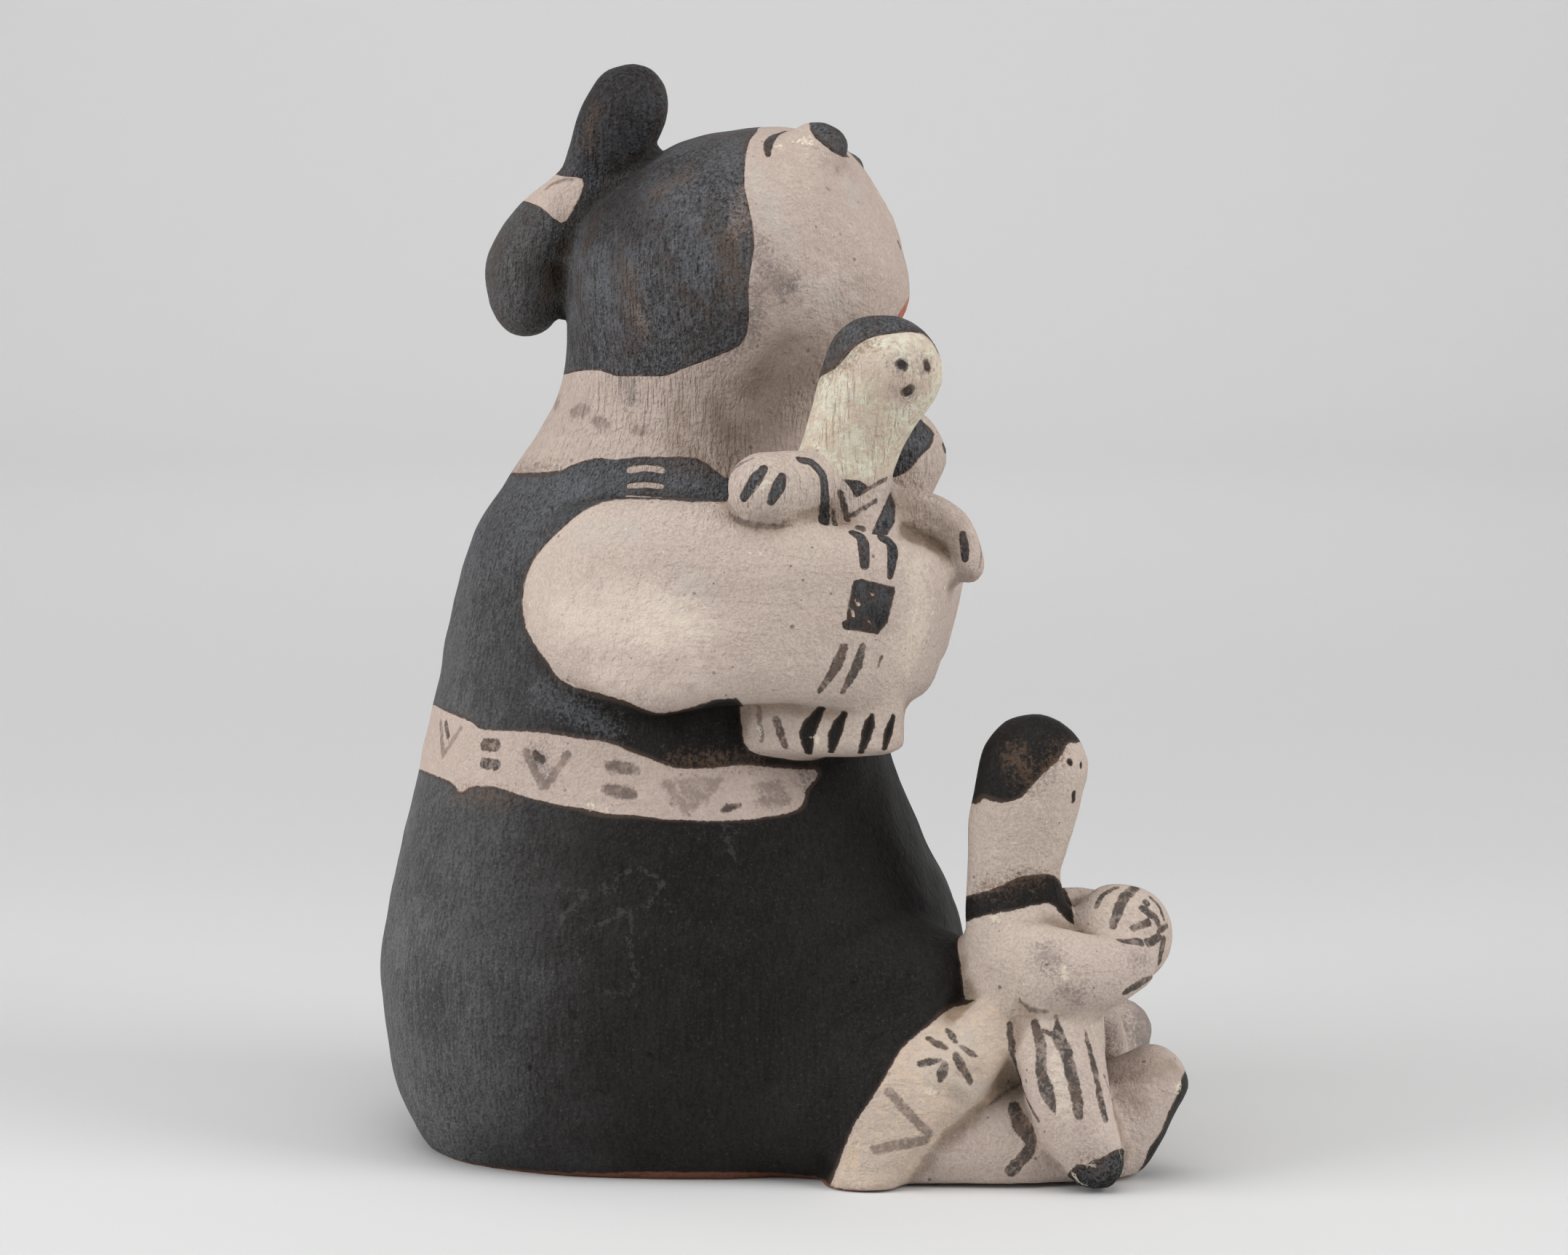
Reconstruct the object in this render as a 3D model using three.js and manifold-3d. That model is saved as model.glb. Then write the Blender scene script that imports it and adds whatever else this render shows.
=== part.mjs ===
// Pueblo storyteller figure: a seated woman of fired and painted clay, holding two children in her arms,
// with a third child sitting on her right leg. All of it is one hand-built piece of clay.
// Millimetres, +Z up. She faces -Y, and her right side is at -X.
// The origin is on the underside, below the middle of the figure's box.
import * as THREE from 'three';
import { mergeVertices } from 'three/addons/utils/BufferGeometryUtils.js';
import Module from 'manifold-3d';

const wasm = await Module();
wasm.setup();

// Driving dimension: the height from the ground to the top of the hair knot.
const FIGURE_HEIGHT = 240;

// Every place and radius of the figure below is a share of that height, in hundredths.
const SHARE = FIGURE_HEIGHT / 100;

// Facets: sides round a form, and rings in the round end of a limb.
const TRUNK_SIDES = 34;
const LIMB_SIDES = 12;
const SMALL_SIDES = 9;
const BALL_RINGS = 7;
const CAP_RINGS = 2;
const RINGS_PER_STATION = 2;

// Reference directions of a limb's cross-sections.
const UP = new THREE.Vector3(0, 0, 1);
const BACKWARD = new THREE.Vector3(0, 1, 0);

// Roundness of a cross-section: 2 is an ellipse, and more is squarer.
const ROUND = 2;
const SQUARISH = 2.5;
const SQUARE = 3;

// The trunk is round above this height, and squarer towards the ground.
const SQUARE_BELOW = 50;

// Fired clay.
const CLAY_COLOR = 0xb4a39b;
const CLAY_ROUGHNESS = 0.9;

// The trunk, neck and head as level cross-sections, from below the ground to the crown.
// Each row: height, back, front, half width.
const TRUNK_LEVELS = [
  [-3.0, 18.5, -21.0, 17.0],
  [0.0, 21.5, -24.0, 20.4],
  [4.0, 23.7, -26.2, 23.0],
  [10.0, 25.1, -28.2, 24.6],
  [16.0, 25.7, -28.9, 25.0],
  [22.0, 25.0, -27.8, 24.6],
  [29.0, 23.4, -24.5, 22.8],
  [36.0, 21.8, -21.8, 20.8],
  [44.0, 20.1, -20.5, 19.4],
  [51.0, 18.7, -20.3, 18.3],
  [57.0, 16.7, -18.6, 16.6],
  [62.0, 13.5, -16.4, 13.6],
  [66.5, 10.6, -15.8, 11.4],
  [70.0, 9.0, -17.8, 11.0],
  [73.5, 8.3, -21.6, 12.2],
  [78.0, 8.2, -24.0, 14.0],
  [82.5, 8.1, -23.7, 14.8],
  [87.0, 6.2, -21.7, 13.9],
  [90.8, 1.4, -19.4, 11.0],
  [93.2, -3.6, -16.4, 7.4],
  [94.2, -8.6, -12.4, 2.8],
];

// Limbs and other round forms run through their stations, with a round cap past either end.
// Each station: x, y, z, half width across, half height along the reference.
const hairKnotUpper = {
  reference: BACKWARD,
  stations: [
    [0, 6.4, 86.5, 4.0, 3.0],
    [0, 4.4, 90.5, 4.6, 3.9],
    [0, 2.9, 94.2, 5.0, 4.2],
    [0, 2.2, 95.8, 4.8, 4.0],
  ],
};
const hairKnotLower = {
  reference: BACKWARD,
  stations: [
    [0, 11.9, 78.9, 4.8, 3.5],
    [0, 11.9, 81.5, 5.0, 3.7],
    [0, 10.2, 84.8, 4.2, 3.3],
    [0, 7.8, 87.6, 3.6, 2.7],
  ],
};
const eyelid = {
  reference: UP,
  stations: [
    [-8.4, -14.4, 90.5, 2.3, 1.6],
    [-6.4, -15.0, 91.6, 3.2, 2.6],
    [-4.6, -15.3, 92.1, 2.4, 1.8],
  ],
};
const nose = {
  reference: UP,
  stations: [
    [0, -18.6, 89.4, 1.6, 1.2],
    [0, -21.2, 85.4, 1.9, 1.5],
    [0, -21.8, 84.0, 2.1, 1.7],
  ],
};
const arm = {
  reference: UP,
  roundness: SQUARE,
  stations: [
    [-11.6, 4.6, 53.6, 6.2, 6.2],
    [-15.6, 1.6, 53.4, 6.6, 7.6],
    [-19.2, -6.0, 53.1, 5.5, 8.6],
    [-19.7, -14.5, 52.4, 4.7, 8.1],
    [-16.6, -21.4, 51.4, 4.4, 7.6],
    [-10.4, -24.7, 51.0, 4.0, 7.0],
    [-3.6, -25.5, 50.7, 3.2, 5.6],
  ],
};
const thigh = {
  reference: UP,
  stations: [
    [-12.8, -8.0, 8.0, 10.0, 9.6],
    [-13.8, -20.0, 8.2, 10.2, 9.6],
    [-14.2, -28.4, 9.2, 9.2, 7.8],
  ],
  capLength: 0.75,
};
const calf = {
  reference: UP,
  stations: [
    [-14.0, -24.0, 4.4, 9.4, 7.2],
    [-14.2, -33.0, 3.6, 8.8, 6.9],
    [-14.2, -40.0, 3.4, 7.4, 6.0],
    [-14.1, -43.6, 3.4, 5.9, 4.8],
  ],
};
const foot = {
  reference: BACKWARD,
  stations: [
    [-14.1, -44.8, 2.0, 5.2, 3.0],
    [-14.2, -46.4, 5.2, 5.4, 3.0],
    [-14.3, -47.9, 8.3, 4.7, 2.5],
  ],
};

// The left leg is the mirrored right one, drawn back and set a little lower.
const LEFT_LEG_SHIFT = [0, 3.9, -1.2];

// The first child stands in the crook of the right arm and lays both arms over it.
const firstChild = {
  head: {
    reference: BACKWARD,
    stations: [
      [-15.6, -17.8, 60.0, 4.6, 5.0],
      [-15.6, -19.2, 65.2, 4.1, 4.4],
      [-15.8, -20.6, 69.2, 4.5, 4.9],
      [-16.0, -22.0, 73.2, 5.1, 5.6],
    ],
  },
  body: {
    reference: BACKWARD,
    roundness: SQUARISH,
    capLength: 0.25,
    stations: [
      [-15.4, -17.2, 39.6, 5.0, 6.9],
      [-15.4, -17.4, 46.0, 4.8, 6.8],
      [-15.5, -18.0, 54.0, 4.4, 6.0],
      [-15.6, -18.6, 60.5, 4.2, 5.2],
    ],
  },
  rearArm: {
    reference: UP,
    stations: [
      [-16.0, -17.6, 62.4, 2.7, 2.9],
      [-18.6, -14.6, 63.0, 3.0, 3.1],
      [-19.8, -11.9, 62.5, 3.0, 3.1],
    ],
  },
  frontArm: {
    reference: UP,
    stations: [
      [-14.4, -21.6, 60.0, 2.0, 2.2],
      [-13.6, -26.0, 58.5, 1.9, 2.0],
      [-13.0, -29.3, 57.2, 1.7, 1.7],
      [-12.8, -30.2, 55.3, 1.4, 1.5],
    ],
  },
};

// The second child is held lower, in the crook of the left arm.
const secondChild = {
  head: {
    reference: BACKWARD,
    stations: [
      [14.8, -18.4, 51.0, 4.2, 4.6],
      [14.6, -19.4, 56.5, 4.0, 4.1],
      [14.2, -21.0, 62.6, 4.8, 5.1],
    ],
  },
  body: {
    reference: BACKWARD,
    roundness: SQUARISH,
    capLength: 0.25,
    stations: [
      [15.2, -17.0, 40.0, 4.8, 6.2],
      [15.2, -17.4, 47.0, 4.5, 6.0],
      [15.0, -18.4, 55.0, 4.0, 5.0],
    ],
  },
  rearArm: {
    reference: UP,
    stations: [
      [15.4, -17.0, 58.0, 2.2, 2.3],
      [17.6, -14.8, 60.4, 2.3, 2.3],
      [19.6, -12.9, 60.2, 2.2, 2.2],
    ],
  },
  frontArm: {
    reference: UP,
    stations: [
      [14.2, -21.4, 57.4, 2.0, 2.1],
      [15.2, -23.8, 58.0, 2.0, 2.0],
      [16.4, -25.4, 56.4, 1.9, 1.9],
    ],
  },
};

// The third child sits astride the right leg and holds a round pot.
const thirdChild = {
  head: {
    reference: BACKWARD,
    stations: [
      [-14.6, -34.0, 23.0, 4.6, 4.4],
      [-14.6, -34.0, 27.5, 4.0, 4.1],
      [-14.6, -34.7, 32.0, 4.3, 4.7],
      [-14.6, -35.8, 37.1, 4.8, 5.0],
    ],
  },
  body: {
    reference: BACKWARD,
    stations: [
      [-14.6, -36.0, 12.6, 6.2, 4.6],
      [-14.6, -35.3, 17.0, 6.2, 5.8],
      [-14.6, -34.6, 21.5, 5.6, 5.1],
      [-14.6, -34.2, 25.5, 4.2, 4.3],
    ],
  },
  rightArm: {
    reference: UP,
    stations: [
      [-17.6, -34.4, 20.4, 3.2, 3.8],
      [-20.2, -38.4, 19.6, 3.0, 3.9],
      [-19.4, -42.6, 19.4, 2.9, 3.4],
      [-16.8, -45.6, 20.4, 2.5, 2.7],
    ],
  },
  leftArm: {
    reference: UP,
    stations: [
      [-11.6, -35.0, 22.4, 3.0, 3.0],
      [-8.8, -39.4, 22.6, 2.6, 2.8],
      [-9.6, -43.4, 22.4, 2.4, 2.6],
    ],
  },
  rightLeg: {
    reference: BACKWARD,
    stations: [
      [-18.0, -38.2, 15.6, 3.4, 4.2],
      [-21.0, -38.9, 10.6, 3.0, 3.9],
      [-22.2, -40.2, 6.4, 2.8, 3.5],
      [-22.4, -41.8, 2.4, 2.6, 2.6],
    ],
  },
  leftLeg: {
    reference: BACKWARD,
    stations: [
      [-10.6, -39.6, 14.6, 3.2, 3.8],
      [-6.6, -40.8, 10.4, 2.9, 3.5],
      [-5.2, -41.6, 6.0, 2.7, 3.2],
      [-5.0, -42.6, 2.4, 2.5, 2.5],
    ],
  },
};
const pot = { centre: [-13.4, -44.4, 22.3], radius: 4.4 };

// Signed power of a sine or cosine, which makes a cross-section squarer.
function squared(value, roundness) {
  return Math.sign(value) * Math.abs(value) ** (2 / roundness);
}

// Smooth curve of five numbers through the stations: a place, and two radii.
function stationCurves(stations) {
  const places = stations.map(([x, y, z]) => new THREE.Vector3(x, y, z));
  const radii = stations.map((row) => new THREE.Vector3(row[3], row[4], 0));
  return {
    place: new THREE.CatmullRomCurve3(places, false, 'catmullrom'),
    radius: new THREE.CatmullRomCurve3(radii, false, 'catmullrom'),
  };
}

// Centre, radii and direction of each ring of a limb, with a round cap past either end.
function limbRings(stations, steps, capLength) {
  const { place, radius } = stationCurves(stations);
  const rings = [];
  for (let i = 0; i <= steps; i += 1) {
    const t = i / steps;
    rings.push({ centre: place.getPoint(t), radii: radius.getPoint(t), along: place.getTangent(t) });
  }
  const cap = (end, sign) => Array.from({ length: CAP_RINGS }, (_, k) => {
    const angle = ((k + 1) / (CAP_RINGS + 1)) * (Math.PI / 2);
    const reach = capLength * 0.5 * (end.radii.x + end.radii.y) * Math.sin(angle) * sign;
    return {
      centre: end.centre.clone().addScaledVector(end.along, reach),
      radii: end.radii.clone().multiplyScalar(Math.cos(angle)),
      along: end.along,
    };
  });
  const tip = (end, sign) => {
    const reach = capLength * 0.5 * (end.radii.x + end.radii.y) * sign;
    return end.centre.clone().addScaledVector(end.along, reach);
  };
  const first = rings[0];
  const last = rings[rings.length - 1];
  return {
    start: tip(first, -1),
    rings: [...cap(first, -1).reverse(), ...rings, ...cap(last, 1)],
    end: tip(last, 1),
  };
}

// Closed skin over rings of points, with one point at either end.
function skin(start, rings, end) {
  const sides = rings[0].length;
  const positions = [start, ...rings.flat(), end].flatMap((p) => [p.x, p.y, p.z]);
  const at = (ring, side) => 1 + ring * sides + (side % sides);
  const endIndex = 1 + rings.length * sides;
  const triangles = [];
  for (let j = 0; j < sides; j += 1) {
    triangles.push(0, at(0, j + 1), at(0, j));
    for (let i = 0; i < rings.length - 1; i += 1) {
      triangles.push(at(i, j), at(i, j + 1), at(i + 1, j));
      triangles.push(at(i, j + 1), at(i + 1, j + 1), at(i + 1, j));
    }
    triangles.push(endIndex, at(rings.length - 1, j), at(rings.length - 1, j + 1));
  }
  const geometry = new THREE.BufferGeometry();
  geometry.setAttribute('position', new THREE.Float32BufferAttribute(positions, 3));
  geometry.setIndex(triangles);
  return geometry;
}

// One ring of points: an ellipse, or a squarer oval, across the limb's direction.
function crossSection(ring, reference, sides, roundness) {
  const across = reference.clone().cross(ring.along).normalize();
  const upward = ring.along.clone().cross(across);
  return Array.from({ length: sides }, (_, j) => {
    const angle = (j / sides) * Math.PI * 2;
    return ring.centre.clone()
      .addScaledVector(across, ring.radii.x * squared(Math.cos(angle), roundness))
      .addScaledVector(upward, ring.radii.y * squared(Math.sin(angle), roundness));
  });
}

function limb(form, sides = LIMB_SIDES) {
  const { reference, stations, roundness = ROUND, capLength = 1 } = form;
  const steps = (stations.length - 1) * RINGS_PER_STATION;
  const { start, rings, end } = limbRings(stations, steps, capLength);
  return skin(start, rings.map((ring) => crossSection(ring, reference, sides, roundness)), end);
}

// The trunk, neck and head: level ovals between their back and front.
function trunk() {
  const stations = TRUNK_LEVELS.map(([z, back, front, width]) => [
    0, (back + front) / 2, z, width, (back - front) / 2,
  ]);
  const { place, radius } = stationCurves(stations);
  const steps = (stations.length - 1) * RINGS_PER_STATION;
  const rings = Array.from({ length: steps + 1 }, (_, i) => ({
    centre: place.getPoint(i / steps),
    radii: radius.getPoint(i / steps),
    along: UP,
  }));
  const sections = rings.map((ring) => {
    const towardsGround = Math.max(0, 1 - ring.centre.z / SQUARE_BELOW);
    const roundness = ROUND + (SQUARISH - ROUND) * towardsGround;
    return crossSection(ring, BACKWARD, TRUNK_SIDES, roundness);
  });
  return skin(rings[0].centre, sections, rings[steps].centre);
}

function ball({ centre, radius }) {
  const geometry = new THREE.SphereGeometry(radius, SMALL_SIDES, BALL_RINGS);
  return geometry.translate(...centre);
}

// The same form on the other side of the figure.
function mirrored(form) {
  return { ...form, stations: form.stations.map(([x, ...rest]) => [-x, ...rest]) };
}

// The same form, moved.
function moved(form, [dx, dy, dz]) {
  const stations = form.stations.map(([x, y, z, ...radii]) => [x + dx, y + dy, z + dz, ...radii]);
  return { ...form, stations };
}

// Solids for joining and cutting, from closed geometry in shares of the height.
function solid(geometry) {
  const bare = geometry.clone();
  bare.deleteAttribute('normal');
  bare.deleteAttribute('uv');
  const merged = mergeVertices(bare.scale(SHARE, SHARE, SHARE), 1e-4);
  return new wasm.Manifold(new wasm.Mesh({
    numProp: 3,
    vertProperties: new Float32Array(merged.attributes.position.array),
    triVerts: new Uint32Array(merged.index.array),
  }));
}

function geometryOf(manifold) {
  const { vertProperties, triVerts } = manifold.getMesh();
  const geometry = new THREE.BufferGeometry();
  geometry.setAttribute('position', new THREE.Float32BufferAttribute(vertProperties, 3));
  geometry.setIndex(Array.from(triVerts));
  return geometry;
}

// A child's head and body get more sides than the thin arms and legs.
function childForms({ head, body, ...thinLimbs }) {
  return [limb(head), limb(body), ...Object.values(thinLimbs).map((form) => limb(form, SMALL_SIDES))];
}

// The ground under the figure, as a block wider than it that cuts its underside flat.
function ground() {
  const width = 200;
  const depth = 20;
  return new THREE.BoxGeometry(width, width, depth).translate(0, 0, -depth / 2);
}

const forms = [
  trunk(),
  limb(hairKnotUpper),
  limb(hairKnotLower),
  limb(eyelid, SMALL_SIDES),
  limb(mirrored(eyelid), SMALL_SIDES),
  limb(nose, SMALL_SIDES),
  limb(arm),
  limb(mirrored(arm)),
  ...[thigh, calf, foot].map((form) => limb(form)),
  ...[thigh, calf, foot].map((form) => limb(moved(mirrored(form), LEFT_LEG_SHIFT))),
  ...childForms(firstChild),
  ...childForms(secondChild),
  ...childForms(thirdChild),
  ball(pot),
];

const joined = forms.map(solid).reduce((whole, next) => whole.add(next));
const figure = geometryOf(joined.subtract(solid(ground())));
figure.computeBoundingBox();
const middle = figure.boundingBox.getCenter(new THREE.Vector3());
figure.translate(-middle.x, -middle.y, 0);

const clay = new THREE.MeshStandardMaterial({
  color: CLAY_COLOR,
  roughness: CLAY_ROUGHNESS,
  metalness: 0,
});
const storyteller = new THREE.Mesh(figure, clay);
storyteller.name = 'storyteller_figure';

const root = new THREE.Group();
root.add(storyteller);

export default root;
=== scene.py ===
import math
import bpy
import numpy as np
from mathutils import Matrix, Vector
from mathutils.bvhtree import BVHTree


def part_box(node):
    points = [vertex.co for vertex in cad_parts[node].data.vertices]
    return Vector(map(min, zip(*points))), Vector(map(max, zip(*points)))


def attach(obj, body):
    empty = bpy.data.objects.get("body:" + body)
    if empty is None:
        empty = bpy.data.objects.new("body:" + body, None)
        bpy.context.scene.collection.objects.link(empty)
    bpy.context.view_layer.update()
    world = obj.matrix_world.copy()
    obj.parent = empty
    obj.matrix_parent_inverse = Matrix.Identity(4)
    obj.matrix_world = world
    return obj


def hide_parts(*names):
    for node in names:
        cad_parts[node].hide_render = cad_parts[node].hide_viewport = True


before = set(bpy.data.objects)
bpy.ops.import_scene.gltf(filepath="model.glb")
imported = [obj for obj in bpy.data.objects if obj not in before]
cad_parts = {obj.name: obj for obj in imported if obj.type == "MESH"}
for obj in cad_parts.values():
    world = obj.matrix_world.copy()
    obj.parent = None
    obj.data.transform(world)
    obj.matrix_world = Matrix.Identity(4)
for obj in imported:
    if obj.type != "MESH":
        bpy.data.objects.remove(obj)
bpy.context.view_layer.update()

figure = {
    "height": 0.240,         # ground to the top of the hair knot
    "node": "storyteller_figure",
    "body": "root",
    "slot": "fired_clay",
    "voxel": 0.0016,         # grain of the joined clay skin
    "smoothing": 4,          # passes that soften the joins as a wet finger does
    "trunkSides": 160,
    "limbSides": 48,
    "levelsPerStation": 8,
    "capRings": 8,
}
share = figure["height"] / 100
upward = (0.0, 0.0, 1.0)
backward = (0.0, 1.0, 0.0)
leaningForward = (0.0, -0.24, 1.0)

# Camera at the photograph's viewing angle: her right side, seen a little from the front and from above.
view = {
    "target": (0.0, 0.0003, 0.1150),
    "distance": 1.2,
    "aheadAngle": 5.0,       # degrees towards her front
    "elevation": 7.0,
    "focalPixels": 7391.9,
    "photoWidth": 2156,
    "photoHeight": 1725,
    "sensorWidth": 36.0,
}

# Trunk, neck and head as level sections: height, back, front, half width.
trunkLevels = [
    (-3.0, 18.5, -21.0, 17.0), (0.0, 21.5, -24.0, 20.4), (4.0, 23.7, -26.2, 23.0),
    (10.0, 25.1, -28.2, 24.6), (16.0, 25.7, -28.9, 25.0), (22.0, 25.0, -27.8, 24.6),
    (29.0, 23.4, -24.5, 22.8), (36.0, 21.8, -21.8, 20.8), (44.0, 20.1, -20.5, 19.4),
    (51.0, 18.7, -20.3, 18.3), (57.0, 16.7, -18.6, 16.6), (62.0, 13.5, -16.4, 13.6),
    (66.5, 10.5, -15.8, 11.4), (70.0, 8.9, -17.8, 11.0), (73.5, 8.2, -21.4, 12.2), (78.0, 8.1, -23.5, 14.0),
    (82.5, 8.0, -23.1, 14.8), (87.0, 6.2, -21.2, 13.9), (90.8, 1.4, -19.0, 11.0), (93.2, -3.6, -16.2, 7.4),
    (94.2, -8.6, -12.4, 2.8),
]
trunkSquareBelow = 50.0      # the trunk is round above this height and squarer towards the ground
trunkSquareness = 0.5        # at the ground the power of its ovals is this much over 2

# Rounded forms. Each station: x, y, z, half width across, half height along the reference.
forms = {
    "knotUpper": {"reference": backward, "stations": [(0, 6.4, 86.5, 4.0, 3.0), (0, 4.8, 90.5, 4.6, 3.6),
        (0, 3.5, 94.2, 5.0, 3.8), (0, 2.7, 95.9, 4.8, 3.7)]},
    "knotLower": {"reference": backward, "stations": [(0, 12.1, 78.9, 4.8, 3.5), (0, 12.1, 81.5, 5.0, 3.6),
        (0, 10.2, 84.8, 4.2, 3.3), (0, 7.8, 87.6, 3.6, 2.7)]},
    "eyelid": {"reference": upward, "stations": [(-7.6, -13.8, 89.8, 1.5, 0.9),
        (-6.4, -14.8, 91.4, 2.5, 1.7), (-5.0, -15.2, 92.4, 2.95, 2.35), (-3.6, -15.3, 92.5, 2.6, 1.95),
        (-2.4, -15.1, 91.8, 1.4, 1.0)]},
    "eyelidLeft": {"reference": upward, "stations": [(2.2, -15.8, 90.2, 1.4, 1.0),
        (3.6, -16.2, 90.4, 2.6, 1.7), (5.0, -16.0, 90.1, 2.9, 1.9), (6.4, -15.2, 89.1, 2.5, 1.5),
        (7.6, -14.2, 87.8, 1.5, 0.9)]},
    "nose": {"reference": upward, "stations": [(0, -17.4, 90.6, 1.5, 1.2), (0, -20.0, 86.8, 1.9, 1.5),
        (0, -21.2, 83.4, 2.4, 1.7)]},
    "arm": {"reference": leaningForward, "pair": True, "roundness": (2.5, 4.4),
        "stations": [(-11.6, 4.8, 52.8, 6.2, 7.6), (-15.0, 2.2, 52.4, 6.5, 9.0),
        (-17.8, -2.2, 52.0, 6.2, 9.7), (-19.3, -7.4, 52.4, 5.5, 9.2), (-19.8, -14.5, 52.0, 4.8, 8.3),
        (-16.6, -21.0, 50.6, 4.4, 7.9), (-10.4, -23.8, 49.5, 3.8, 6.7), (-3.6, -24.4, 49.6, 3.2, 5.2)]},
    "thigh": {"reference": upward, "pair": True, "leg": True, "cap": 0.75,
        "stations": [(-12.8, -8.0, 8.0, 10.0, 9.6), (-13.8, -20.0, 8.2, 10.2, 9.6),
        (-14.2, -28.4, 9.2, 9.2, 7.8)]},
    "calf": {"reference": upward, "pair": True, "leg": True, "stations": [(-14.0, -24.0, 4.4, 9.1, 7.1),
        (-14.2, -33.0, 3.6, 8.5, 6.9), (-14.2, -38.4, 3.4, 7.3, 6.0), (-14.1, -40.6, 3.4, 6.0, 4.9)]},
    "foot": {"reference": backward, "cap": 0.55, "stations": [(-14.1, -40.9, 1.6, 5.4, 4.5),
        (-14.2, -43.0, 4.5, 5.9, 4.7), (-14.3, -45.3, 7.2, 5.7, 4.1), (-14.3, -47.4, 9.2, 4.9, 3.1)]},
    "footLeft": {"reference": backward, "cap": 0.7, "stations": [(14.1, -38.5, -0.6, 5.4, 4.2),
        (14.2, -40.4, 2.8, 5.9, 4.6), (14.3, -42.1, 6.0, 5.4, 4.0), (14.3, -43.3, 8.0, 4.2, 2.9)]},
    "skirtFold": {"reference": backward, "pair": True, "leg": True, "cap": 0.8, "roundness": 3.6,
        "stations": [(-14.2, -21.2, 1.0, 10.4, 3.4), (-14.3, -25.0, 5.8, 10.5, 3.5),
        (-14.4, -29.2, 10.6, 10.1, 3.6), (-14.4, -32.0, 13.6, 7.6, 3.2)]},
    "lap": {"reference": upward, "pair": True, "leg": True, "cap": 0.6,
        "stations": [(-10.5, -14.0, 15.0, 11.5, 9.5), (-11.5, -21.0, 16.0, 10.5, 8.6),
        (-12.5, -26.5, 15.6, 8.6, 6.4)]},
    # first child: in the crook of the right arm, both its arms laid over it
    "firstHead": {"reference": backward, "stations": [(-15.6, -17.8, 60.0, 4.6, 5.0),
        (-15.6, -19.0, 65.2, 4.1, 4.4), (-15.8, -20.4, 69.2, 4.4, 4.7), (-16.0, -22.2, 73.0, 5.1, 5.3)]},
    "firstBody": {"reference": backward, "roundness": 3.0, "cap": 0.2,
        "stations": [(-15.3, -16.9, 39.4, 4.7, 7.3), (-15.3, -16.9, 45.0, 4.6, 7.3),
        (-15.5, -17.8, 54.0, 4.4, 6.2), (-15.6, -18.6, 60.5, 4.2, 5.2)]},
    "firstRearArm": {"reference": upward, "stations": [(-16.0, -17.6, 62.2, 2.8, 3.0),
        (-19.6, -14.9, 63.0, 3.1, 3.1), (-22.0, -12.3, 63.0, 3.5, 3.3)]},
    "firstFrontArm": {"reference": upward, "stations": [(-14.0, -21.8, 60.3, 2.4, 2.6),
        (-12.9, -25.6, 59.9, 2.1, 2.2), (-12.2, -28.4, 58.3, 1.9, 1.9), (-12.0, -29.6, 55.3, 1.6, 1.7)]},
    # second child: held lower, in the crook of the left arm
    "secondHead": {"reference": backward, "stations": [(14.8, -18.4, 51.0, 4.2, 4.6),
        (14.6, -19.4, 56.5, 4.0, 4.1), (14.2, -21.0, 62.6, 4.8, 5.1)]},
    "secondBody": {"reference": backward, "roundness": 2.5, "cap": 0.25,
        "stations": [(15.2, -17.0, 40.0, 4.8, 6.2), (15.2, -17.4, 47.0, 4.5, 6.0),
        (15.0, -18.4, 55.0, 4.0, 5.0)]},
    "secondRearArm": {"reference": upward, "stations": [(15.4, -17.0, 58.0, 2.2, 2.3),
        (17.6, -14.8, 60.4, 2.3, 2.3), (19.6, -12.9, 60.2, 2.2, 2.2)]},
    "secondFrontArm": {"reference": upward, "stations": [(14.2, -20.8, 54.6, 2.0, 2.1),
        (15.2, -22.8, 55.6, 2.0, 2.0), (16.4, -24.2, 55.2, 1.9, 1.9)]},
    # third child: astride the right leg, with a round pot
    "thirdHead": {"reference": backward, "stations": [(-14.6, -34.0, 23.0, 4.6, 4.4),
        (-14.6, -34.0, 27.5, 4.0, 4.1), (-14.6, -34.7, 32.0, 4.3, 4.7), (-14.6, -35.8, 37.1, 4.8, 5.0)]},
    "thirdBody": {"reference": backward, "stations": [(-14.6, -36.0, 12.6, 6.2, 4.6),
        (-14.6, -35.3, 17.0, 6.2, 5.8), (-14.6, -34.6, 21.5, 5.6, 5.1), (-14.6, -34.2, 25.5, 4.2, 4.3)]},
    "thirdRightArm": {"reference": upward, "stations": [(-17.6, -34.4, 20.4, 3.2, 3.8),
        (-20.2, -38.4, 19.6, 3.0, 3.9), (-19.4, -42.2, 19.4, 2.9, 3.4), (-17.2, -44.6, 20.0, 2.4, 2.7)]},
    "thirdLeftArm": {"reference": upward, "stations": [(-11.6, -35.0, 22.4, 3.0, 3.0),
        (-8.8, -39.4, 22.6, 2.6, 2.8), (-9.6, -43.4, 22.4, 2.4, 2.6)]},
    "thirdRightLeg": {"reference": backward, "stations": [(-18.0, -38.2, 15.6, 3.4, 4.2),
        (-21.0, -38.9, 10.6, 3.0, 3.9), (-22.2, -40.2, 6.4, 2.8, 3.5), (-21.6, -41.9, 2.6, 2.6, 2.6)]},
    "thirdLeftLeg": {"reference": backward, "stations": [(-10.6, -39.6, 14.6, 3.2, 3.8),
        (-6.6, -40.8, 10.4, 2.9, 3.5), (-5.2, -41.6, 6.0, 2.7, 3.2), (-5.0, -42.6, 2.4, 2.5, 2.5)]},
    "pot": {"reference": upward, "stations": [(-13.4, -43.6, 21.8, 4.4, 4.7),
        (-13.4, -43.9, 21.8, 4.4, 4.7)]},
}
leftLegShift = np.array([0.0, 3.9, -1.2])     # the left leg is drawn back and lies a little lower


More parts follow.
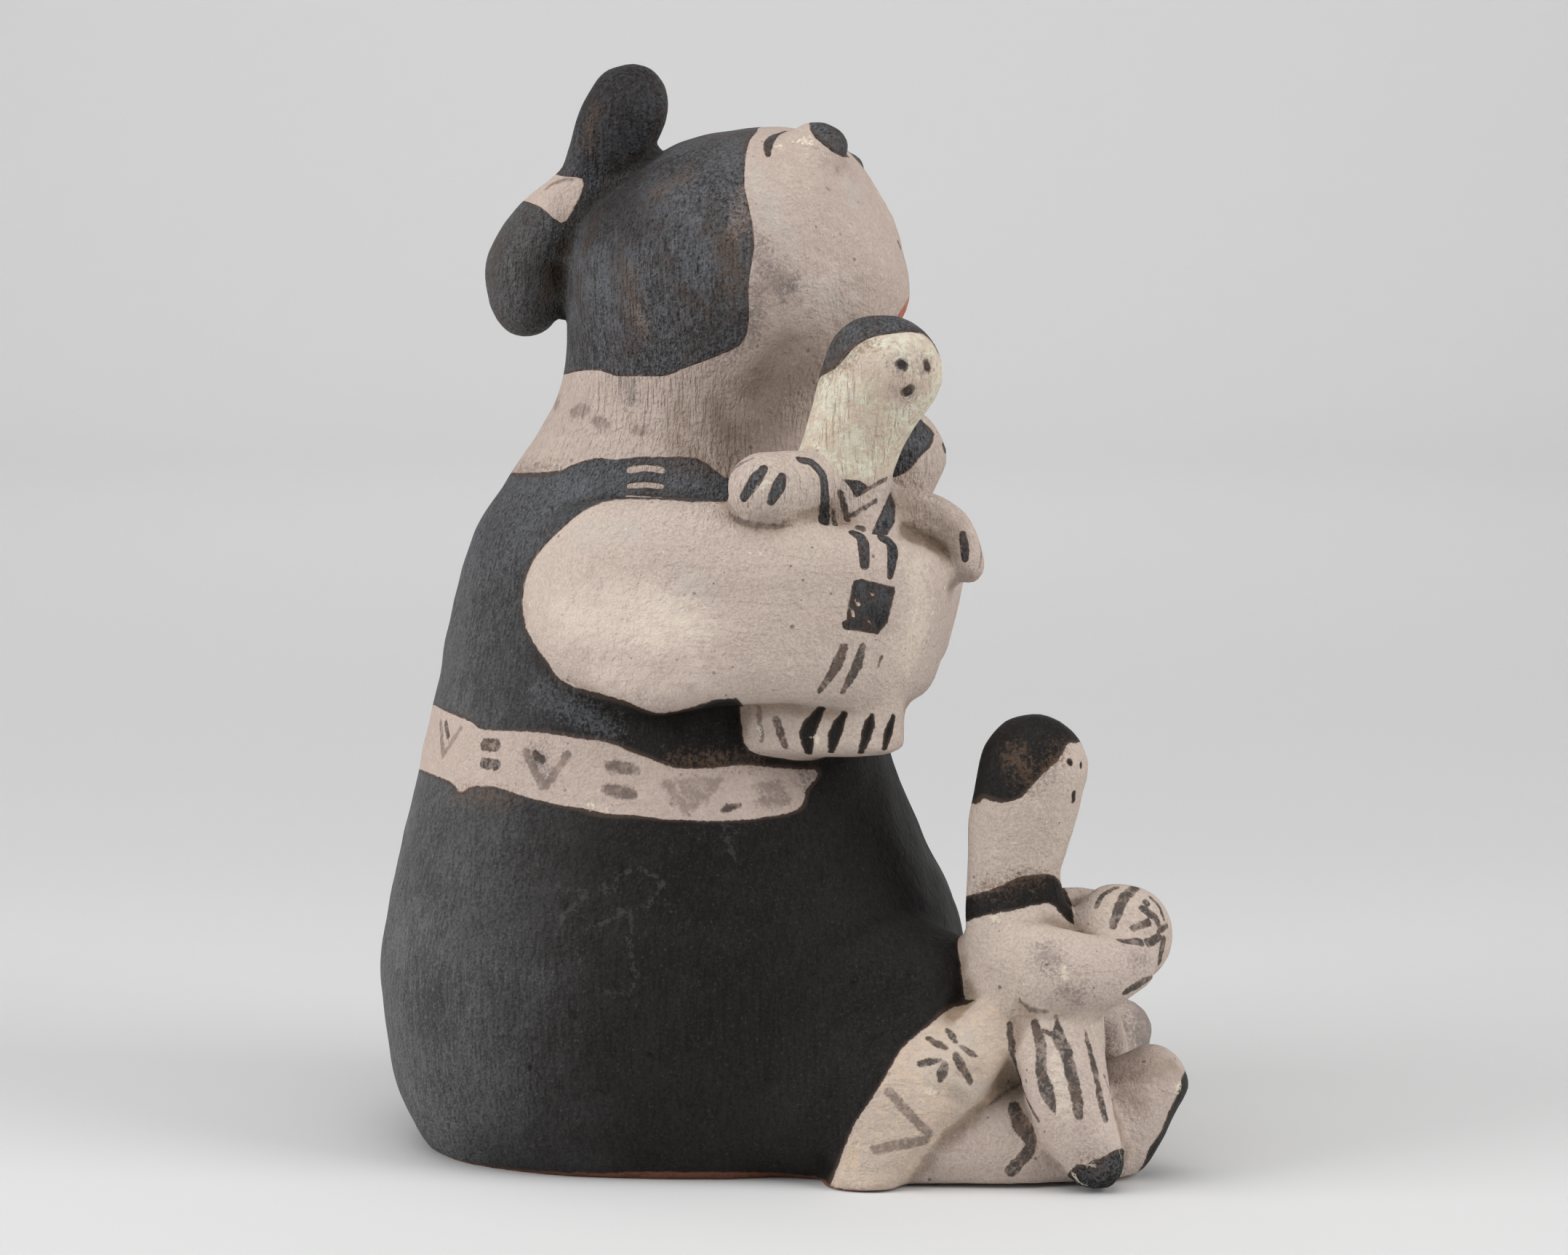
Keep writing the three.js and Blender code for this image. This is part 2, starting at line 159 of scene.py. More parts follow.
# Uniform Catmull-Rom curve through rows of numbers, with a reflected neighbour past either end:
# value and slope at each t from 0 to 1.
def smoothRows(rows, t):
    rows = np.asarray(rows, float)
    rows = np.vstack([2 * rows[0] - rows[1], rows, 2 * rows[-1] - rows[-2]])
    position = t * (len(rows) - 3)
    first = np.minimum(position.astype(int), len(rows) - 4)
    u = (position - first)[:, None]
    a, b, c, d = (rows[first + k] for k in range(4))
    value = 0.5 * (2 * b + (c - a) * u + (2 * a - 5 * b + 4 * c - d) * u**2 + (3 * b - a - 3 * c + d) * u**3)
    slope = 0.5 * ((c - a) + 2 * (2 * a - 5 * b + 4 * c - d) * u + 3 * (3 * b - a - 3 * c + d) * u**2)
    return value, slope


def normalised(rows):
    return rows / np.linalg.norm(rows, axis=-1, keepdims=True)


# Sections of a form, in shares: centre, the two directions across it, the direction along it and two radii.
# Past either end a round cap follows: its reach goes with the sine of an angle to 90 degrees, its radii with
# the cosine.
def sectionsOf(form):
    count = (len(form["stations"]) - 1) * figure["levelsPerStation"] + 1
    rows, slopes = smoothRows(form["stations"], np.linspace(0, 1, count))
    centre, radii, along = rows[:, :3], rows[:, 3:], normalised(slopes[:, :3])
    caps = figure["capRings"]
    angle = np.linspace(0, math.pi / 2, caps + 1)[1:, None]
    reach = form.get("cap", 1.0) * radii[[0, -1]].mean(1)

    def capAt(end, sign):
        return centre[end] + sign * reach[end] * np.sin(angle) * along[end], radii[end] * np.cos(angle)

    startCentre, startRadii = capAt(0, -1)
    endCentre, endRadii = capAt(-1, 1)
    centre = np.vstack([startCentre[::-1], centre, endCentre])
    radii = np.vstack([startRadii[::-1], radii, endRadii])
    along = np.vstack([along[[0] * caps], along, along[[-1] * caps]])
    across = normalised(np.cross(form["reference"], along))
    roundness = np.linspace(*np.broadcast_to(form.get("roundness", 2.0), 2), len(centre))
    return {"centre": centre, "across": across, "rise": np.cross(along, across), "along": along,
            "radii": np.maximum(radii, 0), "roundness": roundness, "caps": caps, "reach": reach}


# Level sections of the trunk: ovals between back and front, squarer below a height.
def trunkSections():
    stations = [(0, (back + front) / 2, z, width, (back - front) / 2)
                for z, back, front, width in trunkLevels]
    count = (len(stations) - 1) * figure["levelsPerStation"] + 1
    rows, _ = smoothRows(stations, np.linspace(0, 1, count))
    roundness = 2.0 + trunkSquareness * np.maximum(0, 1 - rows[:, 2] / trunkSquareBelow)
    across, rise, along = (np.tile(axis, (count, 1)) for axis in np.eye(3))
    return {"centre": rows[:, :3], "across": across, "rise": rise, "along": along, "radii": rows[:, 3:],
            "roundness": roundness, "caps": 0, "reach": np.ones(2)}


# Triangles of a band of rings: two for each step round and each step from ring to ring, after a first point.
def bandTriangles(rings, sides):
    ring, side = np.meshgrid(np.arange(rings - 1), np.arange(sides), indexing="ij")
    here = (1 + ring * sides + side).ravel()
    beside = (1 + ring * sides + (side + 1) % sides).ravel()
    return [np.column_stack([here, beside, beside + sides]),
            np.column_stack([here, beside + sides, here + sides])]


# Closed skin over the sections: superellipses of signed powers of cosine and sine, a point at either end.
def skinOf(sections, sides):
    angle = np.linspace(0, 2 * math.pi, sides, endpoint=False)[None, :]
    power = (2 / sections["roundness"])[:, None]
    x = np.sign(np.cos(angle)) * np.abs(np.cos(angle)) ** power * sections["radii"][:, :1]
    y = np.sign(np.sin(angle)) * np.abs(np.sin(angle)) ** power * sections["radii"][:, 1:]
    rings = sections["centre"][:, None] + x[..., None] * sections["across"][:, None] \
        + y[..., None] * sections["rise"][:, None]
    rings = rings[1:-1]
    points = np.vstack([sections["centre"][:1], rings.reshape(-1, 3), sections["centre"][-1:]])
    near = np.arange(sides)
    far = (near + 1) % sides
    lastRing = 1 + (len(rings) - 1) * sides
    return points, np.vstack([
        np.column_stack([0 * near, 1 + far, 1 + near]), *bandTriangles(len(rings), sides),
        np.column_stack([0 * near + len(points) - 1, lastRing + near, lastRing + far])])


def mirroredForm(form):
    return {**form, "stations": [(-x, *rest) for x, *rest in form["stations"]]}


def shiftedForm(form, shift):
    return {**form, "stations": [(*(np.array(row[:3]) + shift), *row[3:]) for row in form["stations"]]}


# Every form by name, with the left twin of each pair.
def allSections():
    made = {"trunk": trunkSections()}
    for name, form in forms.items():
        made[name] = sectionsOf(form)
        if form.get("pair"):
            twin = mirroredForm(form)
            made[name + "Left"] = sectionsOf(shiftedForm(twin, leftLegShift) if form.get("leg") else twin)
    return made


def meshFrom(name, points, triangles):
    mesh = bpy.data.meshes.new(name)
    mesh.vertices.add(len(points))
    mesh.vertices.foreach_set("co", np.asarray(points, np.float32).ravel())
    mesh.loops.add(3 * len(triangles))
    mesh.loops.foreach_set("vertex_index", np.asarray(triangles, np.int32).ravel())
    mesh.polygons.add(len(triangles))
    mesh.polygons.foreach_set("loop_start", np.arange(0, 3 * len(triangles), 3, dtype=np.int32))
    mesh.polygons.foreach_set("use_smooth", np.ones(len(triangles), bool))
    mesh.update(calc_edges=True)
    mesh.validate()
    return mesh


# Points and triangles of a mesh as arrays.
def arraysOf(mesh):
    mesh.calc_loop_triangles()
    points = np.empty(3 * len(mesh.vertices), np.float32)
    mesh.vertices.foreach_get("co", points)
    triangles = np.empty(3 * len(mesh.loop_triangles), np.int32)
    mesh.loop_triangles.foreach_get("vertices", triangles)
    return points.reshape(-1, 3).astype(float), triangles.reshape(-1, 3)


# All forms joined into one skin of even grain by a voxel remesh.
def joinedClay(sections):
    points, triangles, start = [], [], 0
    for name, form in sections.items():
        sides = figure["trunkSides" if name == "trunk" else "limbSides"]
        ownPoints, ownTriangles = skinOf(form, sides)
        points.append(ownPoints * share)
        triangles.append(ownTriangles + start)
        start += len(ownPoints)
    rough = bpy.data.objects.new("roughClay", meshFrom("roughClay", np.vstack(points), np.vstack(triangles)))
    bpy.context.scene.collection.objects.link(rough)
    remesh = rough.modifiers.new("joined", "REMESH")
    remesh.mode = "VOXEL"
    remesh.voxel_size = figure["voxel"]
    remesh.use_smooth_shade = True
    joined = bpy.data.meshes.new_from_object(rough.evaluated_get(bpy.context.evaluated_depsgraph_get()))
    arrays = arraysOf(joined)
    bpy.data.objects.remove(rough)
    return arrays


# Mean of each point's neighbours over the triangles' edges.
def neighbourMean(points, triangles):
    total = np.zeros_like(points)
    count = np.zeros(len(points))
    for a, b in ((0, 1), (1, 2), (2, 0)):
        for start, end in ((a, b), (b, a)):
            count += np.bincount(triangles[:, start], minlength=len(points))
            ends = points[triangles[:, end]]
            for axis in range(3):
                total[:, axis] += np.bincount(triangles[:, start], ends[:, axis], len(points))
    return total / np.maximum(count, 1)[:, None]


# Smoothing that keeps the volume: a step towards the neighbours' mean, then a slightly longer one back.
def smoothed(points, triangles, passes, forward=0.5, back=-0.53):
    for _ in range(passes):
        for step in (forward, back):
            points = points + step * (neighbourMean(points, triangles) - points)
    return points


def normalsOf(points, triangles):
    a, b, c = (points[triangles[:, k]] for k in range(3))
    faceNormals = np.cross(b - a, c - a)
    total = np.zeros_like(points)
    for corner in range(3):
        for axis in range(3):
            total[:, axis] += np.bincount(triangles[:, corner], faceNormals[:, axis], len(points))
    return normalised(total + 1e-12)


# The camera's directions as rows: to the picture's right, up the picture, and back towards the camera.
def viewDirections():
    ahead, elevation = math.radians(view["aheadAngle"]), math.radians(view["elevation"])
    back = np.array([-math.cos(ahead) * math.cos(elevation), -math.sin(ahead) * math.cos(elevation),
                     math.sin(elevation)])
    right = normalised(np.cross(upward, back))
    return np.array([right, np.cross(back, right), back])


directions = viewDirections()
eye = np.array(view["target"]) + view["distance"] * directions[2]
photoMiddle = np.array([view["photoWidth"], view["photoHeight"]]) / 2
pixelsPerMm = view["focalPixels"] / view["distance"] / 1000


# Photo pixel of each place: how far it lies along the picture's right and down, over its depth, times the
# focal length.
def pixelsOf(places):
    seen = (places - eye) @ directions.T
    return photoMiddle + seen[:, :2] / seen[:, 2:] * [-view["focalPixels"], view["focalPixels"]]


def makeCamera():
    data = bpy.data.cameras.new("photoView")
    data.sensor_width = view["sensorWidth"]
    data.lens = view["focalPixels"] / view["photoWidth"] * view["sensorWidth"]
    camera = bpy.data.objects.new("photoView", data)
    camera.location = eye
    camera.rotation_euler = Matrix(directions.T.tolist()).to_euler()
    bpy.context.scene.collection.objects.link(camera)
    bpy.context.scene.camera = camera


makeCamera()

# Marks of the making.
handwork = {
    "seed": 7,               # slow swells that the hands leave: their lengths and height in metres
    "waves": 26,
    "shortest": 0.007,
    "longest": 0.028,
    "swell": 0.00005,
    "mouthPlace": (0.0, 76.2),   # pressed mouth: x and z, half width and height, and how far back it reaches
    "mouthSize": (3.9, 2.6),
    "mouthFrom": -15.0,
    "mouthDepth": 0.0009,
    "mouthElsewhere": 9.0,   # share given to places further back than it
    "legLift": 0.0011,       # undersides of the legs, rising in step with the way forward
    "liftFrom": -14.0,
    "liftTo": -30.0,
    "overOrigin": (0.00042, 0.02898, 0.0),
    "cavityReach": 7,        # neighbours' means that make up a place's surroundings
    "wetFinger": 0.6,        # share of the way to the neighbours' mean in each pass over a join
}

# Joins worked over with a wet finger: place in shares, reach in shares, passes.
softenedJoins = [
    ((-24.0, -20.6, 14.3), 9.0, 70),
    ((24.0, -16.7, 13.1), 9.0, 70),
    ((-23.5, -21.5, 6.0), 5.5, 40),
    ((23.5, -17.6, 4.8), 5.5, 40),
]


# Sum of plane sine waves of random direction and phase, each as tall as its length allows.
def swells(points):
    random = np.random.default_rng(handwork["seed"])
    total = np.zeros(len(points))
    for length in np.geomspace(handwork["shortest"], handwork["longest"], handwork["waves"]):
        heading = normalised(random.normal(size=3))
        height = handwork["swell"] * math.sqrt(length / handwork["longest"])
        total += height * np.sin(points @ heading * 2 * math.pi / length + random.uniform(0, 2 * math.pi))
    return total


# How far each place lies from the mouth's ellipse, in half heights: the ellipse's share less one.
def mouthShare(points):
    x, z = handwork["mouthPlace"]
    width, height = handwork["mouthSize"]
    share2 = ((points[:, 0] / share - x) / width) ** 2 + ((points[:, 2] / share - z) / height) ** 2
    return np.where(points[:, 1] < handwork["mouthFrom"] * share, np.sqrt(share2) - 1,
                    handwork["mouthElsewhere"])


# Steps towards the neighbours' mean near each worked join, fading out as one less the squared share of its
# reach.
def softened(points, triangles):
    for place, reach, passes in softenedJoins:
        away = np.linalg.norm(points / share - place, axis=1) / reach
        weight = handwork["wetFinger"] * np.clip(1 - away**2, 0, 1)[:, None]
        for _ in range(passes):
            points = points + weight * (neighbourMean(points, triangles) - points)
    return points


sections = allSections()
points, triangles = joinedClay(sections)
print("joined clay:", len(points), "points", len(triangles), "triangles")
points = smoothed(points, triangles, figure["smoothing"])
points = softened(points, triangles)
hollow = handwork["mouthDepth"] * np.clip(-mouthShare(points), 0, 1)
points = points + (swells(points) - hollow)[:, None] * normalsOf(points, triangles)
forward = (handwork["liftFrom"] - points[:, 1] / share) / (handwork["liftFrom"] - handwork["liftTo"])
points[:, 2] = np.maximum(points[:, 2], handwork["legLift"] * np.clip(forward, 0, 1))

# The stations are moved over the origin, and nothing is left outside the solid's box.
shift = np.array(handwork["overOrigin"])
solidLow, solidHigh = (np.array(corner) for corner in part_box(figure["node"]))
print("clay past the solid's box in mm:", ((solidLow - points.min(0) - shift) * 1000).round(2),
      ((points.max(0) + shift - solidHigh) * 1000).round(2))
points = np.clip(points + shift, solidLow, solidHigh)

# Hollowness in mm: how far the surroundings' mean lies outside each place.
surroundings = points
for _ in range(handwork["cavityReach"]):
    surroundings = neighbourMean(surroundings, triangles)
cavity = ((surroundings - points) * normalsOf(points, triangles)).sum(1) * 1000

# Paint read from the photograph, in pixels of its frame of 2156 by 1725. A stroke lists places with the
# brush's half width at each, and an outline lists places only. "placed" strokes are in shares instead, and a
# "twin" is painted on the other side too. Layers: slip and ink are black, umber a thin brown that also draws
# painted shadow lines in creases, stain a fainter brown, soot a grey smudge, scuff pale, chalk pale clay with
# painted highlights on the arm, milk a broad painted light that lifts places lying in shade, ash a grey-green
# haze that also paints shadow below the knee, earth brown dirt and painted shade under the chin, the hands
# and in creases, blush bare pink clay, bloom pale on the black with painted highlights on the hair knot, rust
# brown on the black, rub worn slip, crackle the lips of lifted flakes, pit a small hole painted near black
# for the shade inside it, and bare is left out of the black.
marks = {
    "face": {
        "twin": "side",
        "slip": [[(1056, 214, 2.5), (1055.5, 204, 5), (1058, 195, 5.5), (1064, 187.5, 4.5),
            (1073, 183, 2.5), (1081, 180, 1)]],
        "ink": [[(1235, 333, 2.5), (1238, 340, 3)]],
        "pit": [[(1137, 258, 1.2), (1141, 261, 1.3)], [(1111.5, 483, 2.4)], [(1097.6, 384.5, 1)],
            [(1161, 298, 1)], [(1156, 322.5, 1.1)], [(1038, 215, 1)], [(1167, 417, 1)]],
        "scuff": [[(1070, 201, 4.5)], [(1086, 190.5, 1.5)], [(1098, 195, 3), (1104, 194, 3)],
            [(1110, 190, 4), (1113, 196, 3)], [(1117, 203, 1)]],
        "soot": [[(1042, 330, 4), (1056, 372, 14), (1078, 392, 20)], [(1040, 400, 12), (1036, 440, 10),
            (1032, 470, 6)], [(985, 492, 3), (1010, 480, 6), (1026, 462, 7)]],
        "ashAndShade": [[(1040, 232, 8), (1052, 290, 18), (1090, 330, 10)], [(1176, 262, 12), (1170, 285, 10)],
            [(1120, 400, 10), (1150, 420, 10)]],
        "rub": [[(1018, 262, 3), (1020, 300, 9), (1014, 322, 4)], [(876, 430, 3), (884, 452, 4)]],
        # bloom: the strokes in the crevice under the upper knot and down the knot's edge are painted
        # highlights
        "bloomAndHighlight": [[(1012, 190, 6), (1004, 225, 8)], [(824, 256, 3), (846, 250, 4), (866, 240, 2)],
            [(792, 205, 4), (786, 230, 5)]],
        "rust": [[(1000, 330, 8), (1008, 400, 9)], [(866, 380, 12), (872, 440, 10)], [(758, 372, 6),
            (754, 410, 9)], [(816, 150, 5), (806, 190, 6)], [(905, 262, 10), (940, 244, 7)],
            [(779, 342, 3.5), (781, 350, 3.5)]],
    },
    "farLash": {"ink": [[(1178, 216, 2.5), (1186, 221, 4.5), (1192, 230, 4)]]},
    "tie": {"umberAndCreaseShade": [[(750, 260, 1.5), (760, 253, 3), (776, 247.5, 2.5), (788, 247, 1.5)]]},
    "neck": {
        "twin": "side",
        "stain": [[(765.5, 546, 6), (765.5, 558, 6)], [(790, 566, 9), (806, 564, 8)], [(819, 577, 8),
            (831, 585, 8)], [(872, 590, 7), (890, 592, 6)]],
        "soot": [[(862, 522, 9), (868, 550, 5)]],
        # earth here is painted shade under the jaw and at the neck's front, with the browner clay there
        "earthAndShade": [[(1090, 462, 8), (1050, 500, 14), (1030, 540, 12)], [(980, 560, 14), (1000, 600, 26),
            (1004, 632, 20)], [(925, 600, 12), (962, 634, 14)], [(930, 560, 8), (950, 590, 12)]],
        # milk here is painted light: it lightens the lower face in the shadow of the first child's head
        "paintedLight": [[(1130, 400, 26), (1140, 430, 24), (1110, 450, 12)]],
    },
    "strap": {
        "twin": "side",
        "bare": [[(866, 646, 5.5), (888, 643.5, 5.5), (910, 646, 5.5)], [(866, 668, 5), (888, 666.5, 5),
            (909, 669, 5)], [(862, 682, 2.5), (888, 683, 2.5), (909, 684, 2.5)]],
        "bloomAndHighlight": [[(776, 676, 22), (848, 660, 22)], [(925, 662, 22), (985, 670, 14)]],
        "rust": [[(690, 646, 3), (760, 642, 4)], [(930, 640, 5), (970, 650, 5)]],
    },
    "wrist": {
        "twin": "side",
        "slip": [[(1174, 733, 6), (1185, 740, 7), (1188, 756, 7), (1189, 776, 6)], [(1213, 740, 6),
            (1225.5, 748, 8), (1227, 768, 7), (1224, 791.5, 4)]],
        "ink": [[(1160, 891, 6), (1148, 919, 7), (1126, 951.5, 3)], [(1186, 888, 4), (1178, 916, 7),
            (1158, 951.5, 3)]],
        "bare": [[(1194, 815, 1.5), (1200, 818, 3.5)], [(1177, 824, 1.5), (1180, 831, 4.5)],
            [(1171, 839, 1.5), (1174, 845, 4)], [(1192, 853, 1.5), (1196, 856, 3.5)]],
    },
    "arm": {
        "scuff": [[(1086.6, 897, 1.2), (1088, 930, 1.5)], [(1263, 824, 1.2), (1255, 857.5, 1.5)],
            [(912, 838, 1.5), (934, 850, 2.5)], [(946, 866, 1.5), (956, 874, 2)]],
        # chalk on the arm is pale clay and a painted highlight across its middle and at its right end
        "chalkAndHighlight": [[(896, 822, 12), (915, 836, 14)], [(930, 852, 16), (958, 862, 14)], [(880, 855, 10),
            (905, 880, 12)], [(1262, 790, 20), (1262, 850, 24), (1250, 900, 20)]],
        # milk on the arm is painted light over its middle and its underside
        "paintedLight": [[(780, 850, 26), (850, 850, 44), (930, 860, 44)], [(830, 925, 22), (910, 942, 24),
            (960, 930, 18)]],
        "ashAndShade": [[(792, 738, 10), (845, 728, 14), (880, 735, 6)], [(940, 795, 10), (965, 812, 12)]],
        # earth here is painted shade: under the first child's hand and along the arm's lower edge
        "earthAndShade": [[(1003, 706, 5), (1030, 722, 8), (1062, 722, 7)], [(790, 940, 3), (850, 966, 4),
            (900, 982, 4)]],
        "ink": [[(1211.5, 904, 2.5), (1206, 919, 2)]],
        # umber here is a painted shadow line in the crevice under the first child's hand
        "umberAndCreaseShade": [[(1003, 704, 1.5), (1012, 714, 3), (1032, 721, 4), (1062, 724, 3.5), (1088, 722, 1)]],
        "pit": [[(1040, 728, 1.2)], [(1046, 731, 1)], [(1186, 730, 1)], [(868, 905, 1)], [(1206, 880, 1)]],
    },
    "firstChild": {
        "slip": [[(1240, 501, 5)], [(1275, 503, 4.5)], [(1248, 537, 5)], [(1101, 632, 6), (1117.5, 637, 7),
            (1131.5, 655, 7), (1134, 681, 7), (1133, 717, 7)], [(1050, 644, 5), (1038, 660, 8),
            (1022, 684, 5)], [(1076, 655, 5), (1070, 670, 8), (1060, 689, 5)], [(1129.5, 974, 5),
            (1111, 1005, 10), (1112, 1034, 5)], [(1161, 981, 4), (1149, 1006, 8), (1143, 1033, 4)],
            [(1198, 985, 4), (1194, 1001, 7), (1184, 1034, 4)], [(1228, 986, 4), (1222, 1005, 6),
            (1216, 1028, 4)], [(1324, 734, 4), (1326, 750, 5), (1327, 768, 4)]],
        "ink": [[(1238, 500, 6.5), (1242, 503, 6.5)], [(1274, 499, 5), (1275, 506, 6)], [(1245, 539, 6),
            (1251, 535, 6.5)], [(1146, 703, 3), (1148, 721, 3)], [(1176, 681, 3), (1218.5, 658, 3)],
            [(1155, 678, 4), (1165, 713, 4)], [(1165, 713, 2.5), (1204.5, 688, 2.5)], [(1180, 726, 4),
            (1187, 727, 4)], [(1067, 989.5, 5), (1079.5, 1026, 4)]],
        "soot": [[(1239, 501, 8)], [(1274, 503, 8)], [(1248, 537, 8)]],
        # the last umber stroke is a painted shadow line in the gap between the child's hand and the arm's end
        "umberAndCreaseShade": [[(1043, 972, 3.5), (1047, 1017, 3.5)], [(1036, 630, 2), (1012, 642, 3), (1000, 660, 2.5)],
            [(1346, 742, 2), (1349, 759, 2), (1347, 779, 2)]],
        "blush": [[(1205, 500, 26), (1232, 530, 26)], [(1262, 490, 18), (1270, 530, 14)], [(1180, 570, 8),
            (1200, 590, 8)]],
        "rust": [[(1126, 520, 6), (1148, 505, 9), (1176, 484, 8), (1198, 468, 4)]],
        "scuff": [[(1043, 672, 3), (1054, 663, 4)], [(1044, 1000, 2), (1046, 1012, 2)], [(1174, 488, 1.5)],
            [(1121, 1014, 3), (1124, 1020, 2)]],
        # earth on the child's front arm is brown dirt and painted shade
        "earthAndShade": [[(1240, 696, 20), (1270, 708, 24), (1300, 724, 20), (1318, 736, 12)], [(1330, 790, 5),
            (1344, 796, 5)], [(1252, 722, 16), (1282, 742, 16), (1306, 758, 12)]],
    },
    "firstTwin": {
        "placed": True,
        "slip": [[(-10.9, -20.6, 60.6, 6), (-10.8, -19.0, 56.5, 7)], [(-11.0, -14.0, 40.0, 7),
            (-11.0, -14.2, 44.0, 7)], [(-11.0, -19.0, 40.0, 7), (-11.0, -19.2, 44.0, 7)]],
    },
    "secondChild": {
        "placed": True,
        "slip": [[(14.0, -25.8, 63.4, 7)], [(17.4, -25.4, 63.4, 7)], [(15.7, -25.6, 60.6, 7)],
            [(19.6, -20.4, 59.0, 6), (19.2, -19.6, 54.0, 7)], [(19.4, -11.6, 61.6, 6),
            (21.0, -12.6, 60.0, 6)], [(19.6, -12.5, 40.0, 7), (19.6, -12.6, 43.5, 7)],
            [(19.8, -16.5, 40.0, 7), (19.8, -16.6, 43.5, 7)], [(19.6, -20.5, 40.0, 7),
            (19.6, -20.6, 43.5, 7)]],
    },
    "thirdChild": {
        "slip": [[(1471, 1048, 5)], [(1486, 1050, 3), (1486, 1054, 3)], [(1476, 1090, 4), (1476, 1100, 4)]],
        "ink": [[(1388, 1408, 3.5), (1391, 1438, 4.5), (1398, 1468, 2.5), (1412, 1511, 2.5),
            (1427, 1539, 3.5)], [(1423, 1407, 5.5), (1431, 1441, 7), (1432.5, 1478, 7.5), (1440, 1502, 9),
            (1449, 1526, 3)], [(1454, 1402, 2.5), (1456, 1426, 7.5), (1466, 1447, 7.5), (1474, 1481, 7),
            (1481, 1511, 7), (1483, 1535, 5)], [(1435, 1418, 3), (1452, 1423, 3)], [(1492, 1416, 1.5),
            (1500, 1450, 4), (1509, 1487, 4), (1514, 1515, 5), (1520, 1538, 4.5)], [(1518, 1478, 1.5),
            (1529, 1511, 1.5)]],
        # umber here is a painted shadow line in the crease where the child's arm overlaps its leg
        "umberAndCreaseShade": [[(1402, 1376, 1.5), (1412, 1383, 3)], [(1416, 1388, 3), (1440, 1391, 2.5)],
            [(1452, 1397, 2)]],
        "bloomAndHighlight": [[(1500, 1614, 12), (1528, 1600, 12)]],
        # milk here is painted light on the calf
        "paintedLight": [[(1530, 1548, 14), (1556, 1580, 12)]],
        "soot": [[(1437, 1314, 14), (1448, 1320, 8)], [(1468, 1366, 8), (1482, 1368, 8)], [(1524, 1414, 5),
            (1533, 1440, 5)]],
        "rust": [[(1392, 1038, 12), (1408, 1062, 10)], [(1420, 1080, 5), (1446, 1052, 6), (1462, 1030, 5)],
            [(1345, 1222, 5), (1390, 1212, 6), (1430, 1204, 6)], [(1490, 1600, 4), (1512, 1604, 5)]],
        "scuff": [[(1461, 1330, 3.5), (1466, 1342, 5)], [(1364, 1262, 4), (1371, 1262, 4)],
            [(1474, 1610, 2.5), (1480, 1622, 2.5), (1496, 1632, 2)], [(1490, 1599, 1.5), (1502, 1601, 2)],
            [(1540, 1582, 1.5), (1542, 1592, 2)], [(1622, 1490, 4), (1618, 1500, 5)]],
        "chalkAndHighlight": [[(1448, 1455, 4), (1458, 1500, 8), (1462, 1530, 5)]],
        # earth here browns the foot's upper side, and its last stroke is painted shade in the crevice under
        # the hem
        "earthAndShade": [[(1540, 1482, 10), (1575, 1476, 18), (1612, 1464, 16)], [(1552, 1505, 8),
            (1566, 1520, 8)], [(1346, 1528, 3), (1366, 1514, 4), (1395, 1496, 6)]],
    },
    "pot": {
        "ink": [[(1535, 1220, 4), (1516.5, 1230.5, 4), (1507, 1247, 3)], [(1561, 1220, 6), (1544, 1237, 7),
            (1530, 1272, 5)], [(1576, 1241, 5)], [(1572, 1250, 5), (1587, 1260, 5), (1595, 1276, 3)],
            [(1558, 1276, 4), (1578, 1268, 5)], [(1582, 1234, 3), (1594, 1247, 3), (1600, 1263, 3)],
            [(1594, 1280, 4), (1604, 1272, 4)], [(1578, 1296, 6), (1594, 1288, 5)], [(1600, 1290, 5),
            (1597, 1307, 5), (1594, 1324, 4)], [(1541, 1293, 5), (1567, 1295, 6)], [(1547, 1364, 4),
            (1566, 1353, 7), (1582, 1344, 4)]],
        "soot": [[(1560, 1320, 7), (1572, 1320, 7)]],
    },
    "sash": {
        "twin": "side",
        "umberAndCreaseShade": [[(606, 994, 4), (609, 1038, 4)], [(609, 1038, 4), (633, 1002, 3.5)], [(723, 1034, 5),
            (746, 1079, 6)], [(780, 1037, 5), (752, 1079, 5)], [(838, 1052, 6), (855, 1055, 7),
            (874, 1059, 6)], [(831, 1084, 5), (852, 1088, 7), (870, 1092, 6)]],
        "stain": [[(918, 1078, 6), (930, 1098, 7), (945, 1114, 6)], [(988, 1074, 6), (968, 1094, 7),
            (945, 1114, 6)], [(924, 1078, 6), (975, 1076, 6)], [(948, 1092, 8), (956, 1094, 8)],
            [(1041, 1080, 5), (1060, 1081, 6.5), (1078, 1085, 5.5)], [(1043, 1101, 5.5), (1062, 1102, 6.5),
            (1082, 1101, 5)], [(842, 1054, 8), (866, 1058, 8)], [(836, 1086, 7), (864, 1090, 8)]],
        "soot": [[(736, 1040, 10), (748, 1060, 8)], [(1106, 1066, 10), (1130, 1058, 12)],
            [(1064, 1092, 8)]],
        "ink": [[(613, 995, 4.5), (616, 1012, 4)], [(667, 1024, 8), (681, 1024, 8)], [(666, 1049, 7),
            (682, 1051, 7)], [(736, 1037, 5), (744, 1044, 6)], [(992, 1115, 3), (1004, 1109, 4.5),
            (1017, 1107, 3)]],
        "scuff": [[(806, 1107, 2), (818, 1109, 3)], [(830, 1111, 2), (838, 1112, 3)], [(770, 1099, 2)]],
        "bloomAndHighlight": [[(745, 950, 10), (790, 975, 12), (836, 998, 8)]],
        "rust": [[(930, 1046, 4), (985, 1047, 5), (1040, 1045, 4)], [(632, 1092, 4), (700, 1099, 4)]],
